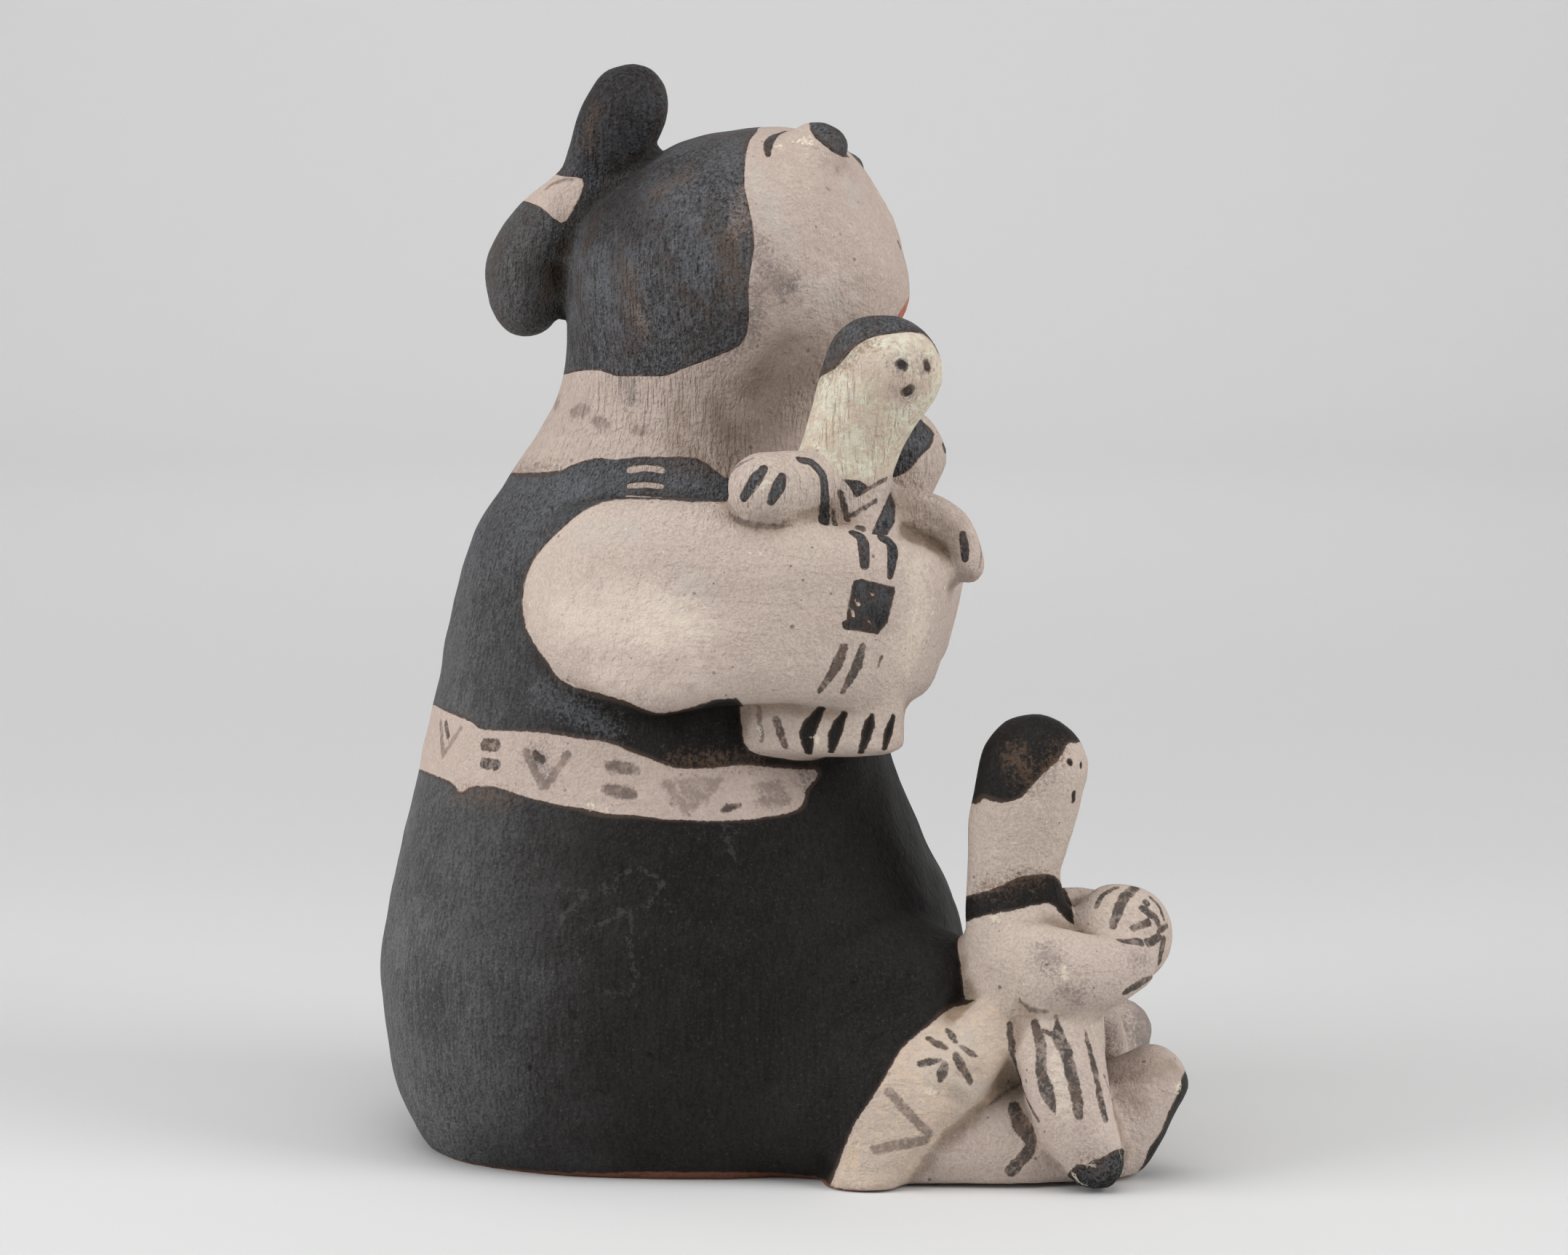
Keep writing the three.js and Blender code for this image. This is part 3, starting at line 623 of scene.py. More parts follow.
    },
    "skirt": {
        "twin": "leg",
        # the last umber stroke is a painted shadow line in the crevice under the skirt's hem
        "umberAndCreaseShade": [[(1223, 1501, 6), (1250, 1531, 6), (1278, 1559, 6)], [(1272, 1567, 6.5),
            (1238, 1573, 6.5), (1203, 1580, 5.5)], [(1357, 1522, 1), (1372, 1509, 2), (1388, 1498, 2.5),
            (1401, 1491, 2)]],
        "ink": [[(1394, 1520, 6), (1397, 1532, 8.5), (1408, 1551, 11), (1418, 1568, 7.5), (1412, 1585, 7.5),
            (1402, 1597, 7.5), (1390, 1609, 8)]],
        "earthAndShade": [[(1286, 1484, 3), (1318, 1506, 3)], [(1318, 1470, 2), (1350, 1470, 3)]],
        # ash here is painted shadow: in the crevice under the hem and below the knee
        "ashAndShade": [[(1398, 1502, 8), (1404, 1514, 10)], [(1290, 1470, 24), (1330, 1500, 20)],
            [(1320, 1430, 16)]],
        "scuff": [[(1272, 1503, 1.5), (1284, 1499, 2)]],
    },
    "dress": {
        "crackle": [[(758, 1214, 1), (800, 1227, 1.3), (834, 1222, 1), (853, 1205, 1.2), (883, 1195, 1),
            (907, 1208, 1.4), (910, 1222, 1.4), (897, 1236, 1)], [(804, 1232, 1), (787, 1249, 1.4),
            (775, 1261, 1.2), (775, 1288, 1), (795, 1315, 1.6), (792, 1334, 1)], [(790, 1278, 0.8),
            (819, 1273, 1.1), (853, 1256, 1.1), (878, 1249, 1.2), (897, 1239, 1)], [(853, 1249, 1),
            (868, 1261, 0.8), (866, 1300, 0.8), (873, 1354, 0.9), (848, 1366, 0.8), (826, 1361, 0.8)],
            [(726, 1408, 1), (707, 1422, 1), (712, 1466, 1), (729, 1471, 1.3)], [(993, 1134, 1.4),
            (1000, 1153, 1.6), (1006, 1170, 1), (1012, 1186, 0.8)], [(985, 1128, 1), (1000, 1140, 1),
            (1014, 1141, 1)]],
        "pit": [[(780, 1242, 3), (777, 1249, 3)], [(787, 1390, 2.5), (791, 1399, 3.5)], [(729, 1468, 4)],
            [(672, 1193, 1.5), (678, 1187, 2)], [(842, 1452, 2.5)], [(893, 1450, 3), (900, 1457, 2)],
            [(955, 1306, 2)], [(826, 1500, 2.5), (835, 1504, 2)]],
    },
    "flower": {
        "ink": [[(1276, 1427, 3), (1290, 1435, 4.5), (1301, 1441, 2.5)], [(1303, 1415, 3),
            (1309, 1424, 4.5), (1315, 1432, 3)], [(1264, 1462, 4), (1279, 1459, 4.5), (1292, 1457, 2.5)],
            [(1298, 1464, 5), (1295, 1476, 6.5), (1293, 1485, 3)], [(1314, 1450, 4), (1321, 1463, 6),
            (1334, 1487, 4)], [(1320, 1438, 2), (1334, 1447, 4), (1344, 1452, 2)]],
    },
}
patches = {
    "wristSquare": {"twin": True, "outline": [(1174, 798.5), (1185, 796), (1213, 803),
        (1230, 807), (1230, 815), (1221, 855), (1207, 871.5), (1160, 864.5), (1158, 855), (1164, 852),
        (1167, 827)]},
    "dressWedge": {"outline": [(1224, 676.5), (1231, 695), (1230, 717), (1220, 735),
        (1199, 734), (1204.5, 720), (1216, 695)]},
    "lash": {"twin": True, "farShift": (8, 28), "outline": [(1114, 178), (1113, 164),
        (1122, 158), (1142, 158), (1158, 166), (1171, 182), (1176, 204), (1167, 216), (1158, 215),
        (1146, 209), (1133, 199), (1122, 190)]},
    "breastPoint": {"outline": [(1157, 658), (1182, 661), (1193, 668), (1179, 683.5),
        (1174, 678), (1165, 664)]},
}
bodyForms = ("trunk", "arm", "armLeft", "lap", "lapLeft", "thigh", "thighLeft", "skirtFold", "skirtFoldLeft")
headForms = ("trunk", "knotUpper", "knotLower", "eyelid", "eyelidLeft", "nose")

# Areas: a drawn edge, then the corners that close it outside the form's own outline, and the forms it is on.
outlines = {
    "hair": {"edge": [(773, 515), (800, 509), (826, 509), (847, 516), (881, 516.5), (914, 516), (943, 505),
        (983, 490), (1018, 473), (1029, 444), (1029, 391), (1037, 330), (1029, 284), (1023, 253),
        (1025, 215), (1031, 192), (1041, 181)], "corners": [(1041, 60), (600, 60), (600, 515)],
        "on": headForms},
    "tie": {"edge": [(766, 240), (778, 242.5), (792, 243), (802.5, 247), (801, 260), (790, 284), (777, 306),
        (764, 303), (751, 291), (740, 283), (728, 279)], "corners": [(690, 268), (720, 226)],
        "on": headForms},
    "dress": {"edge": [(771.5, 647), (791, 638), (818, 630), (847, 632), (880, 628), (914.5, 628.5),
        (941, 628), (963, 632), (982, 645), (999, 657.5), (1040, 668), (1100, 672)],
        "corners": [(1400, 672), (1400, 1760), (500, 1760), (500, 652), (740, 650)], "on": bodyForms},
    "bareArm": {"edge": [(1000, 689), (946, 690), (914.5, 687), (856, 686.6), (828.6, 690.5), (803, 702),
        (787, 713.5), (769, 729.5), (755, 743), (736.7, 765), (726.4, 784.6), (720.7, 805.3), (718, 828),
        (721.8, 858), (727.5, 872), (740, 892.5), (755, 913), (766.6, 930.4), (787, 943), (810, 949),
        (837.7, 957), (860.7, 963.7), (883.7, 974), (908, 980.5), (938.7, 975), (964, 968.3),
        (984.7, 961.4), (1012, 959)], "corners": [(1060, 1010), (1400, 1010), (1400, 640), (1040, 640)],
        "on": bodyForms},
    "sash": {"edge": [(598.8, 969), (611.8, 976.6), (637.7, 987.7), (650.6, 993.3), (659.9, 1001.4),
        (681, 1004), (708, 1005), (752.4, 1008), (796.8, 1015.5), (833.8, 1021), (863.4, 1032), (893, 1043),
        (922.6, 1054.3), (952, 1057), (981.8, 1055.4), (1018.8, 1051.7), (1052, 1054.3), (1085.4, 1057),
        (1107.5, 1058), (1120, 1057), (1125, 1062), (1122, 1071), (1114, 1078.4), (1106.8, 1089.5),
        (1103.9, 1106), (1085.4, 1117), (1052, 1122.8), (1018.8, 1127.2), (967, 1128.3), (911.5, 1125.8),
        (874.5, 1121), (833.8, 1118.4), (800.5, 1111), (767.2, 1106), (730.2, 1097), (708, 1090.3),
        (682, 1082), (660, 1080.3), (645, 1082), (635.8, 1089.5), (628.4, 1084), (619.2, 1074.7),
        (578.5, 1058)], "corners": [(480, 1045), (480, 950)], "on": ("trunk", "arm", "armLeft")},
    "underskirt": {"edge": [(1141, 1632), (1155, 1596), (1166, 1566), (1178, 1541), (1195, 1516),
        (1210, 1492), (1224, 1468), (1240, 1442), (1258, 1425), (1282, 1406), (1306, 1387), (1336, 1379)],
        "corners": [(1420, 1340), (1700, 1300), (1700, 1760), (1130, 1760)], "on": bodyForms,
        "frame": "leg"},
    "sole": {"edge": [(1634, 1462), (1625, 1482), (1617, 1508), (1606, 1530), (1597, 1554), (1580, 1578),
        (1572, 1600), (1556, 1626)], "corners": [(1556, 1760), (1760, 1760), (1760, 1462)],
        "on": ("foot", "calf")},
    "farSole": {"edge": [(1562, 1375), (1560, 1396), (1561, 1448)], "corners": [(1561, 1760), (1760, 1760),
        (1760, 1375)], "on": ("footLeft", "calfLeft"), "frame": "own"},
    "firstCap": {"edge": [(1123, 525), (1129, 517), (1148, 506), (1163, 490), (1174.5, 477),
        (1197.5, 463.5), (1228, 458), (1255, 456), (1274, 462), (1287, 479), (1291, 490)],
        "corners": [(1340, 490), (1340, 380), (1060, 380), (1060, 525)], "on": ("firstHead",),
        "frame": "own"},
    "firstCream": {"edge": [(1098, 625), (1113, 636), (1140, 650), (1165, 660), (1195, 660), (1222, 652),
        (1238, 640)], "corners": [(1340, 640), (1340, 380), (1060, 380), (1060, 625)],
        "on": ("firstHead", "firstBody"), "frame": "own"},
    "secondCap": {"edge": [(1256, 570), (1275, 585), (1284.5, 596.5), (1280, 612), (1266, 627), (1249, 647),
        (1228, 656)], "corners": [(1140, 660), (1140, 540), (1240, 540)], "on": ("secondHead",),
        "frame": "own"},
    "thirdCap": {"edge": [(1335, 1104), (1346.5, 1106), (1351, 1097), (1377, 1104), (1403, 1097),
        (1416, 1084), (1433, 1065), (1455, 1045), (1468, 1023), (1481, 1021)], "corners": [(1520, 1010),
        (1520, 900), (1280, 900), (1280, 1104)], "on": ("thirdHead",), "frame": "own"},
    "collar": {"edge": [(1329, 1231.5), (1368, 1221), (1403, 1205.5), (1437.5, 1201), (1455, 1208),
        (1470, 1235), (1481, 1275), (1459, 1257.5), (1442, 1242), (1394, 1251), (1342, 1262), (1323, 1271)],
        "corners": [(1290, 1280), (1290, 1240)],
        "on": ("thirdHead", "thirdBody", "thirdRightArm", "thirdLeftArm"), "frame": "own"},
    "thirdFoot": {"edge": [(1472, 1609), (1484, 1600), (1495, 1602), (1501, 1595), (1514, 1592),
        (1529, 1583), (1546, 1577)], "corners": [(1590, 1570), (1590, 1700), (1440, 1700), (1462, 1625)],
        "on": ("thirdRightLeg",), "frame": "own"},
    "thirdFarFoot": {"edge": [(1490, 1590), (1520, 1583), (1560, 1578)], "corners": [(1600, 1578),
        (1600, 1700), (1440, 1700), (1440, 1592)], "on": ("thirdLeftLeg",), "frame": "own"},
}

# How the drawn paint is carried to the clay.
painting = {
    "spread": {"slip": 1.10, "ink": 1.12, "umberAndCreaseShade": 1.12, "stain": 1.1, "bare": 0.9},   # wider than drawn
    "reach": 6.0,            # mm, past which a painted distance no longer matters
    "fineLayers": ("slip", "ink", "umberAndCreaseShade", "bare", "pit", "crackle"),
    "fineBands": (1.7, 0.6),     # mm to either side of a fine edge where the clay gets smaller triangles
    "pitEdge": 0.35,         # mm beyond a pit's drawn size, its slope in mm, and its depth in metres a mm
    "pitSlope": 0.9,
    "pitDepth": 0.0006,
    "shoulderEnd": -8.0,     # shares: behind this the bare arm ends at the drawn edge
    "farSoleGap": 1.5,       # mm that the far foot's sooty sole stands back from its outline
    "rimThin": 0.4,          # mm of bare rim, and how much more there is around one place along it, in pixels
    "rimMore": 1.7,
    "rimMiddle": 950,
    "rimSpread": 170,
    "cavityLimit": 2.0,      # mm, past which hollowness no longer matters
    "castTries": 5,          # turns in which a place beside the clay settles on it
    "legBlend": 8.0,         # shares from the middle over which the left leg's own place comes in
}


# Signed distance to a closed outline, negative inside: the least distance to its edges, and inside where a
# level line to the right crosses an odd number of them.
def outlineDistance(places, outline):
    corners = np.array(outline, float)
    least, inside = np.full(len(places), np.inf), np.zeros(len(places), bool)
    for start, end in zip(corners, np.roll(corners, -1, 0)):
        span = end - start
        along = np.clip((places - start) @ span / (span @ span), 0, 1)[:, None]
        least = np.minimum(least, np.linalg.norm(places - start - along * span, axis=1))
        crosses = (start[1] > places[:, 1]) != (end[1] > places[:, 1])
        slope = span[0] / span[1] if span[1] else 0.0
        inside ^= crosses & (places[:, 0] < start[0] + (places[:, 1] - start[1]) * slope)
    return np.where(inside, -least, least)


# Signed distance from a form in mm: at the nearest section the place's share of the superellipse, with its
# share of the round cap past either end, scales the distance from the section's centre.
def formDistance(places, form):
    body = slice(form["caps"], len(form["centre"]) - form["caps"])
    centre, radii = form["centre"][body], form["radii"][body]
    nearest = (np.square(centre).sum(1) - 2 * places @ centre.T).argmin(1)
    offset = places - centre[nearest]
    across, rise, along = ((offset * form[key][body][nearest]).sum(1) for key in ("across", "rise", "along"))
    power = form["roundness"][body][nearest]
    ring = np.abs(across / radii[nearest, 0]) ** power + np.abs(rise / radii[nearest, 1]) ** power
    past = np.maximum(np.where(nearest == 0, -along / form["reach"][0], 0),
                      np.where(nearest == len(centre) - 1, along / form["reach"][1], 0))
    ratio = np.sqrt(ring ** (2 / power) + np.maximum(past, 0) ** 2)
    return np.linalg.norm(offset, axis=1) * (1 - 1 / np.maximum(ratio, 1e-3)) * share * 1000


# Smooth line through drawn places, or the place alone where there is one.
def throughPlaces(line, samples=4):
    if len(line) < 2:
        return np.array(line, float)
    return smoothRows(line, np.linspace(0, 1, (len(line) - 1) * samples + 1))[0]


clayTree = BVHTree.FromPolygons(points.tolist(), triangles.tolist())


def nearestClay(place):
    return np.array(clayTree.find_nearest(Vector(place))[0])


# Place on the clay that a photo pixel shows. Where the ray passes beside the clay, the nearest place on the
# clay and the nearest place on the ray are found in turn until they settle.
def cast(pixel):
    flat = np.array([pixel[0] - photoMiddle[0], photoMiddle[1] - pixel[1], -view["focalPixels"]])
    ray = normalised(flat @ directions)
    hit = clayTree.ray_cast(Vector(eye), Vector(ray))[0]
    if hit is None:
        hit = eye + ray * view["distance"]
        for _ in range(painting["castTries"]):
            hit = eye + ray * ((nearestClay(hit) - eye) @ ray)
        hit = nearestClay(hit)
    return np.array(hit)


# Every stroke of a layer as places on the clay and half widths in mm, with its twin on the other side.
def brushStrokes():
    strokes = {}
    for group in marks.values():
        lines = [(layer, line) for layer, drawn in group.items() if layer not in ("twin", "placed")
                 for line in drawn]
        for layer, line in lines:
            rows = throughPlaces(line)
            if group.get("placed"):
                spots = np.array([nearestClay(row[:3] * share + shift) for row in rows])
            else:
                spots = np.array([cast(row[:2]) for row in rows])
            width = rows[:, -1] / pixelsPerMm * painting["spread"].get(layer, 1.0)
            strokes.setdefault(layer, []).append((spots, width))
            if "twin" in group:
                moved = spots * [-1, 1, 1] + (leftLegShift * share if group["twin"] == "leg" else 0)
                strokes[layer].append((np.array([nearestClay(spot) for spot in moved]), width))
    return strokes


# Signed distance in mm from strokes: distance to each stretch less the half width there, the least of all.
def strokeField(places, strokes):
    field = np.full(len(places), painting["reach"])
    for spots, width in strokes:
        margin = (width.max() + painting["reach"]) / 1000
        near = ((places > spots.min(0) - margin) & (places < spots.max(0) + margin)).all(1).nonzero()[0]
        for k in range(max(1, len(spots) - 1)):
            start, end = spots[k], spots[min(k + 1, len(spots) - 1)]
            span = end - start
            along = np.clip((places[near] - start) @ span / max(span @ span, 1e-12), 0, 1)
            offset = np.linalg.norm(places[near] - start - along[:, None] * span, axis=1) * 1000
            half = width[k] + (width[min(k + 1, len(width) - 1)] - width[k]) * along
            field[near] = np.minimum(field[near], offset - half)
    return field


# Pixels in which places appear: their own, those of their mirror image on the near side, and the same with
# the left leg set back to where the right one lies.
def pixelFrames(places):
    mirrored = places * [1, 1, 1]
    mirrored[:, 0] = -np.abs(mirrored[:, 0])
    side = np.clip(places[:, 0] / (painting["legBlend"] * share), 0, 1)[:, None]
    return {"own": pixelsOf(places), "mirrored": pixelsOf(mirrored),
            "leg": pixelsOf(mirrored - side * leftLegShift * share)}


# Signed distance in mm from the filled patches of slip, near the place where each is seen or its twin.
def patchField(places, pixels):
    field = np.full(len(places), painting["reach"])
    for patch in patches.values():
        middle = cast(np.mean(patch["outline"], 0))
        reach = np.linalg.norm(np.ptp(patch["outline"], 0)) / pixelsPerMm / 1000
        for side in (1, -1) if patch.get("twin") else (1,):
            near = (np.linalg.norm(places - middle * [side, 1, 1], axis=1) < reach).nonzero()[0]
            outline = np.array(patch["outline"]) + (patch.get("farShift", 0) if side < 0 else 0)
            distance = outlineDistance(pixels["mirrored"][near], outline) / pixelsPerMm
            field[near] = np.minimum(field[near], distance)
    return field


# Halves every edge with both ends marked. The new place lies on the curve that leaves either end square to
# its normal, values along the edge are averaged, and a triangle becomes two or four.
def refined(points, triangles, marked, values):
    normals = normalsOf(points, triangles)
    ends = triangles[:, [0, 1, 1, 2, 2, 0]].reshape(-1, 2).astype(np.int64)
    ends = np.sort(ends, axis=1)
    edges = ends[:, 0] * len(points) + ends[:, 1]
    _, first, back = np.unique(edges, return_index=True, return_inverse=True)
    a, b = ends[first].T
    split = marked[a] & marked[b]
    number = np.where(split, len(points) + np.cumsum(split) - 1, -1)
    a, b = a[split], b[split]
    span = points[b] - points[a]
    leave = span - (span * normals[a]).sum(1, keepdims=True) * normals[a]
    arrive = span - (span * normals[b]).sum(1, keepdims=True) * normals[b]
    middle = (points[a] + points[b]) / 2 + (leave - arrive) / 8
    cut = number[back].reshape(-1, 3)
    count = (cut >= 0).sum(1)
    whole = triangles[count == 0]
    corner, edge = triangles[count == 3], cut[count == 3]
    four = [np.column_stack(t) for t in (
        (corner[:, 0], edge[:, 0], edge[:, 2]), (edge[:, 0], corner[:, 1], edge[:, 1]),
        (edge[:, 2], edge[:, 1], corner[:, 2]), (edge[:, 0], edge[:, 1], edge[:, 2]))]
    corner, edge = triangles[count == 1], cut[count == 1]
    which = edge.argmax(1)
    row = np.arange(len(corner))
    p, q, r = (corner[row, (which + k) % 3] for k in range(3))
    m = edge[row, which]
    two = [np.column_stack((p, m, r)), np.column_stack((m, q, r))]
    return (np.vstack([points, middle]), np.vstack([whole, *four, *two]).astype(np.int32),
            np.append(values, (values[a] + values[b]) / 2))


strokes = brushStrokes()
drawn = [stroke for layer in painting["fineLayers"] for stroke in strokes[layer]]
print("strokes:", {layer: len(lines) for layer, lines in strokes.items()})
for band in painting["fineBands"]:
    pixels = pixelFrames(points)
    distance = np.minimum(strokeField(points, drawn), patchField(points, pixels))
    points, triangles, cavity = refined(points, triangles, np.abs(distance) < band, cavity)
pitShare = np.clip(painting["pitEdge"] - strokeField(points, strokes["pit"]), 0, painting["pitSlope"])
points = points - painting["pitDepth"] * pitShare[:, None] * normalsOf(points, triangles)
points = np.clip(points, solidLow, solidHigh)
print("clay with fine places for the brush:", len(points), "points", len(triangles), "triangles")

pixels = pixelFrames(points)
formDistances = {name: formDistance((points - shift) / share, form) for name, form in sections.items()}


# How much nearer a place is to the named forms than to any other, in mm: negative where it is theirs.
def belongs(names):
    own = np.min([formDistances[name] for name in names], 0)
    others = [distance for name, distance in formDistances.items() if name not in names]
    return own - np.min(others, 0)


# Signed distance from a painted area in mm: inside its outline and on its forms.
def areaField(name):
    area = outlines[name]
    outline = [*throughPlaces(area["edge"]), *area["corners"]]
    flat = outlineDistance(pixels[area.get("frame", "mirrored")], outline) / pixelsPerMm
    return np.maximum(flat, belongs(area["on"]))


paint = {layer: strokeField(points, lines) for layer, lines in strokes.items()}
paint["slip"] = np.minimum(paint["slip"], patchField(points, pixels))
behindShoulder = (painting["shoulderEnd"] * share - points[:, 1]) * 1000
foreArm = np.maximum(areaField("bareArm"), np.minimum(belongs(("arm", "armLeft")), behindShoulder))
underskirt = areaField("underskirt")
dress = np.maximum.reduce([areaField("dress"), -foreArm, -areaField("sash"), -underskirt])
hair = np.maximum(areaField("hair"), -areaField("tie"))
blackAreas = [areaField(name) for name in (
    "sole", "firstCap", "secondCap", "thirdCap", "collar", "thirdFoot", "thirdFarFoot")]
paint["slip"] = np.minimum.reduce([paint["slip"], dress, hair, *blackAreas])
paint["slip"] = np.maximum(paint["slip"], -paint.pop("bare"))
paint["soot"] = np.minimum(paint["soot"], areaField("farSole") - painting["farSoleGap"])
paint["warm"] = underskirt
paint["dull"] = belongs(headForms)
paint["cream"] = np.maximum(areaField("firstCream"), -areaField("firstCap"))
paint["red"] = mouthShare(points - shift) * handwork["mouthSize"][1] * share * 1000
alongRim = (pixels["mirrored"][:, 0] - painting["rimMiddle"]) / painting["rimSpread"]
paint["rim"] = points[:, 2] * 1000 - painting["rimThin"] - painting["rimMore"] * np.exp(-alongRim ** 2)
paint["cavity"] = cavity
print("painted layers:", ", ".join(sorted(paint)))

clayMesh = meshFrom("storyteller", points, triangles)
for layer, field in paint.items():
    limit = painting["cavityLimit" if layer == "cavity" else "reach"]
    clayMesh.attributes.new(layer, "FLOAT", "POINT").data.foreach_set(
        "value", np.clip(field, -limit, limit).astype(np.float32))
storyteller = bpy.data.objects.new("storyteller", clayMesh)
bpy.context.scene.collection.objects.link(storyteller)


# One shader node: settings are its properties, inputs are plain values or other nodes' sockets.
def node(tree, kind, inputs=None, **settings):
    made = tree.nodes.new(kind)
    for key, value in settings.items():
        setattr(made, key, value)
    for key, value in (inputs or {}).items():
        if isinstance(value, bpy.types.NodeSocket):
            tree.links.new(value, made.inputs[key])
        else:
            made.inputs[key].default_value = value
    return made


def maths(tree, operation, *values, clamp=False):
    made = node(tree, "ShaderNodeMath", dict(enumerate(values)), operation=operation, use_clamp=clamp)
    return made.outputs[0]


def times(tree, first, second):
    return maths(tree, "MULTIPLY", first, second)


# First number times the second, and the third added.
def timesPlus(tree, first, second, third, clamp=False):
    return maths(tree, "MULTIPLY_ADD", first, second, third, clamp=clamp)


def mixed(tree, factor, first, second, blend="MIX"):
    made = node(tree, "ShaderNodeMix", {0: factor, 6: first, 7: second}, data_type="RGBA", blend_type=blend)
    return made.outputs[2]


def noise(tree, place, scale, detail, roughness, distortion=0.0):
    made = node(tree, "ShaderNodeTexNoise", {"Vector": place, "Scale": scale, "Detail": detail,
                                             "Roughness": roughness, "Distortion": distortion})
    return made.outputs["Fac"]


# Smooth step of a value between two bounds, from one number to another.
def stepped(tree, value, low, high, first=0.0, last=1.0):
    inputs = {"Value": value, "From Min": low, "From Max": high, "To Min": first, "To Max": last}
    return node(tree, "ShaderNodeMapRange", inputs, interpolation_type="SMOOTHSTEP").outputs["Result"]


def stretched(tree, place, scale):
    return node(tree, "ShaderNodeMapping", {"Vector": place, "Scale": scale}).outputs["Vector"]


def colour(red, green, blue):
    return (red, green, blue, 1.0)


# New shader node group with named sockets: kind by name.
def newGroup(name, inputs, outputs):
    tree = bpy.data.node_groups.new(name, "ShaderNodeTree")
    for names, way in ((inputs, "INPUT"), (outputs, "OUTPUT")):
        for key, kind in names.items():
            tree.interface.new_socket(key, in_out=way, socket_type="NodeSocket" + kind)
    return tree, tree.nodes.new("NodeGroupInput").outputs, tree.nodes.new("NodeGroupOutput").inputs


def join(tree, start, end):
    tree.links.new(start, end)


edgeSway = {"coarse": 2.2, "fine": 0.9}      # how far each noise unsettles an edge, for a fray of one


# Edge of brushed paint: one where the distance, unsettled by coarse and fine noise, is below zero.
def makeBrushedEdge():
    tree, given, out = newGroup("brushedEdge", {"Distance": "Float", "Fray": "Float", "Softness": "Float",
                                                "Coarse": "Float", "Fine": "Float"}, {"Mask": "Float"})
    coarse = maths(tree, "SUBTRACT", given["Coarse"], 0.5)
    fine = maths(tree, "SUBTRACT", given["Fine"], 0.5)
    fray = timesPlus(tree, fine, edgeSway["fine"], times(tree, coarse, edgeSway["coarse"]))
    unsettled = timesPlus(tree, fray, given["Fray"], given["Distance"])
    depth = maths(tree, "DIVIDE", unsettled, given["Softness"])
    join(tree, stepped(tree, depth, -1.0, 1.0, 1.0, 0.0), out["Mask"])
    return tree


# A noise gives its waves for each metre, its detail and roughness, and for some its distortion. A step gives
# two bounds and the values at them. Levels are in metres.
clayLook = {
    "tint": (0.50, 0.410, 0.358),
    "cloud": (0.55, 0.475, 0.395), "cloudNoise": (34.0, 3.0, 0.55), "cloudStep": (0.35, 0.68, 0.0, 0.34),
    "patch": (0.46, 0.362, 0.322), "patchNoise": (120.0, 4.0, 0.6), "patchStep": (0.3, 0.72, 0.0, 0.34),
    "sandNoise": (1350.0, 2.0, 0.75), "sandStep": (0.30, 0.70, 0.89, 1.10), "sandHeight": 0.42,
    "speckScale": 480.0, "speckPower": 4.0, "speckLeast": 0.035, "speckMore": 0.20,
    "darkSpeck": (0.13, 0.105, 0.09), "darkAbove": 0.66, "darkStrength": 0.70, "darkHeight": -0.12,
    "paleSpeck": (0.74, 0.68, 0.60), "paleBelow": 0.22, "paleStrength": 0.50,
    "dimpleNoise": (430.0, 2.0, 0.5), "dimpleHeight": 0.60,
    "brushNoise": (520.0, 2.0, 0.5, 0.4), "brushStretch": (1.0, 0.16, 1.0), "brushHeight": 0.34,
    "wipeNoise": (900.0, 2.0, 0.6, 0.25), "wipeStretch": (1.0, 1.0, 0.11), "wipeHeight": 1.30,
    "wipedAbove": (0.138, 0.150), "wipedBelow": (0.168, 0.186, 1.0, 0.25),
}


